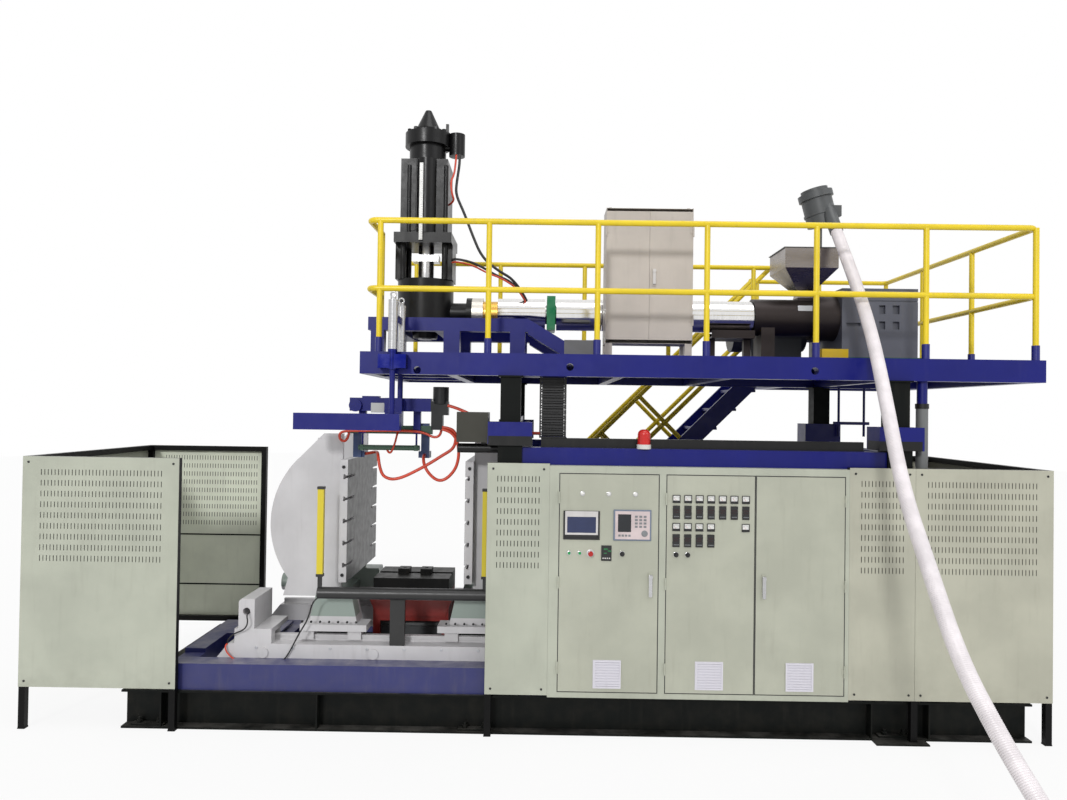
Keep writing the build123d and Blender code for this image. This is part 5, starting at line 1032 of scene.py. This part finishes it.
def backdrop(owner, plain, bright, output, share=1.0):
    """Shows the bright shader to rays from the camera, off metal or through glass, and the plain one to others."""
    tree = owner.tree
    rays = tree.nodes.new("ShaderNodeLightPath")
    camera, glossy, through = (
        Channel(owner, rays.outputs[name]) for name in ("Is Camera Ray", "Is Glossy Ray", "Is Transmission Ray")
    )
    seen = (camera + glossy + through).clamped()
    mixer = tree.nodes.new("ShaderNodeMixShader")
    tree.links.new((seen * share).socket, mixer.inputs[0])
    tree.links.new(plain.outputs[0], mixer.inputs[1])
    tree.links.new(bright.outputs[0], mixer.inputs[2])
    tree.links.new(mixer.outputs[0], tree.nodes[output].inputs[0])


FLOOR_SHARE = 0.88
AMBIENT = 0.55
LAMPS = (
    # name, direction, strength, angle
    ("window", (0.27, 1.0, -0.38), 1.3, 0.12),
    ("ceiling", (-0.15, 0.25, -1.0), 0.8, 0.6),
    ("side", (-0.8, 0.6, -0.5), 0.35, 0.6),
)
# The camera fitted to the photograph: yaw, pitch and roll in radians, focal length and width in pixels
CAMERA_TURN = (-0.0069, 0.0138, 0.0140)
CAMERA_PLACE = (0.0152, -6.2545 + FRONT, 2.5384)
FOCAL, WIDTH = 800.24, 1067
SENSOR = 36.0


class MACHINE_OT_stage(bpy.types.Operator):
    """Floor, backdrop, lamps and the camera"""

    bl_idname = "machine.stage"
    bl_label = "Stage"

    def execute(self, context):
        floor = Surface("stage floor", Roughness=0.9)
        floor.shader.inputs["Base Color"].default_value = colour(0.8, 0.8, 0.8)
        emission = floor.tree.nodes.new("ShaderNodeEmission")
        backdrop(floor, floor.shader, emission, "Material Output", FLOOR_SHARE)
        mesh = bmesh.new()
        bmesh.ops.create_circle(mesh, cap_ends=True, segments=96, radius=40.0)
        data = bpy.data.meshes.new("floor")
        mesh.to_mesh(data)
        mesh.free()
        ground = placed("floor", data)
        ground.location = (0.0, 0.0, -0.001)
        data.materials.append(floor.material)
        world = bpy.data.worlds.new("studio")
        context.scene.world = world
        world.use_nodes = True
        tree = world.node_tree
        plain = tree.nodes["Background"]
        bright = tree.nodes.new("ShaderNodeBackground")
        for background, strength in ((plain, AMBIENT), (bright, 1.0)):
            background.inputs[0].default_value = colour(1.0, 1.0, 1.0)
            background.inputs[1].default_value = strength
        backdrop(Tree(tree), plain, bright, "World Output")
        for name, direction, strength, angle in LAMPS:
            light = bpy.data.lights.new(name, "SUN")
            light.energy = strength
            light.angle = angle
            placed(name, light).rotation_euler = Vector(direction).to_track_quat("-Z", "Y").to_euler()
        yaw, pitch, roll = CAMERA_TURN
        level = Vector((math.sin(yaw), math.cos(yaw), 0.0))
        right = Vector((math.cos(yaw), -math.sin(yaw), 0.0))
        up = Vector((0.0, 0.0, 1.0))
        ahead = level * math.cos(pitch) + up * math.sin(pitch)
        above = up * math.cos(pitch) - level * math.sin(pitch)
        side = right * math.cos(roll) + above * math.sin(roll)
        above = above * math.cos(roll) - right * math.sin(roll)
        turn = Matrix((side, above, -ahead)).transposed().to_4x4()
        lens = bpy.data.cameras.new("camera")
        lens.sensor_width = SENSOR
        lens.lens = FOCAL / WIDTH * SENSOR
        lens.clip_end = 200.0
        camera = placed("camera", lens)
        camera.matrix_world = Matrix.Translation(CAMERA_PLACE) @ turn
        context.scene.camera = camera
        context.scene.view_settings.view_transform = "Standard"
        return {"FINISHED"}


class MACHINE_PT_panel(bpy.types.Panel):
    """Lists the machine's settings and pieces"""

    bl_idname = "MACHINE_PT_panel"
    bl_label = "Blow Moulding Machine"
    bl_space_type = "VIEW_3D"
    bl_region_type = "UI"
    bl_category = "Machine"

    def draw(self, context):
        column = self.layout.column()
        for settings in (context.scene.machine_colours, context.scene.machine_sizes):
            for name in settings.__annotations__:
                column.prop(settings, name)
        for operator in OPERATORS:
            column.operator(operator.bl_idname)


OPERATORS = (
    MACHINE_OT_finishes,
    MACHINE_OT_stage,
    MACHINE_OT_feed_hose,
    MACHINE_OT_guard_sheets,
    MACHINE_OT_door_edges,
    MACHINE_OT_instruments,
    MACHINE_OT_hoses,
    MACHINE_OT_clamp_fittings,
    MACHINE_OT_cable_chain,
    MACHINE_OT_head_fittings,
)
CLASSES = (MachineColours, MachineSizes, *OPERATORS, MACHINE_PT_panel)


def register():
    for made in CLASSES:
        bpy.utils.register_class(made)
    bpy.types.Scene.machine_colours = bpy.props.PointerProperty(type=MachineColours)
    bpy.types.Scene.machine_sizes = bpy.props.PointerProperty(type=MachineSizes)


def unregister():
    del bpy.types.Scene.machine_colours
    del bpy.types.Scene.machine_sizes
    for made in reversed(CLASSES):
        bpy.utils.unregister_class(made)


def main():
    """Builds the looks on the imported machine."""
    register()
    for operator in OPERATORS:
        group, name = operator.bl_idname.split(".")
        getattr(getattr(bpy.ops, group), name)()


if __name__ == "__main__":
    main()
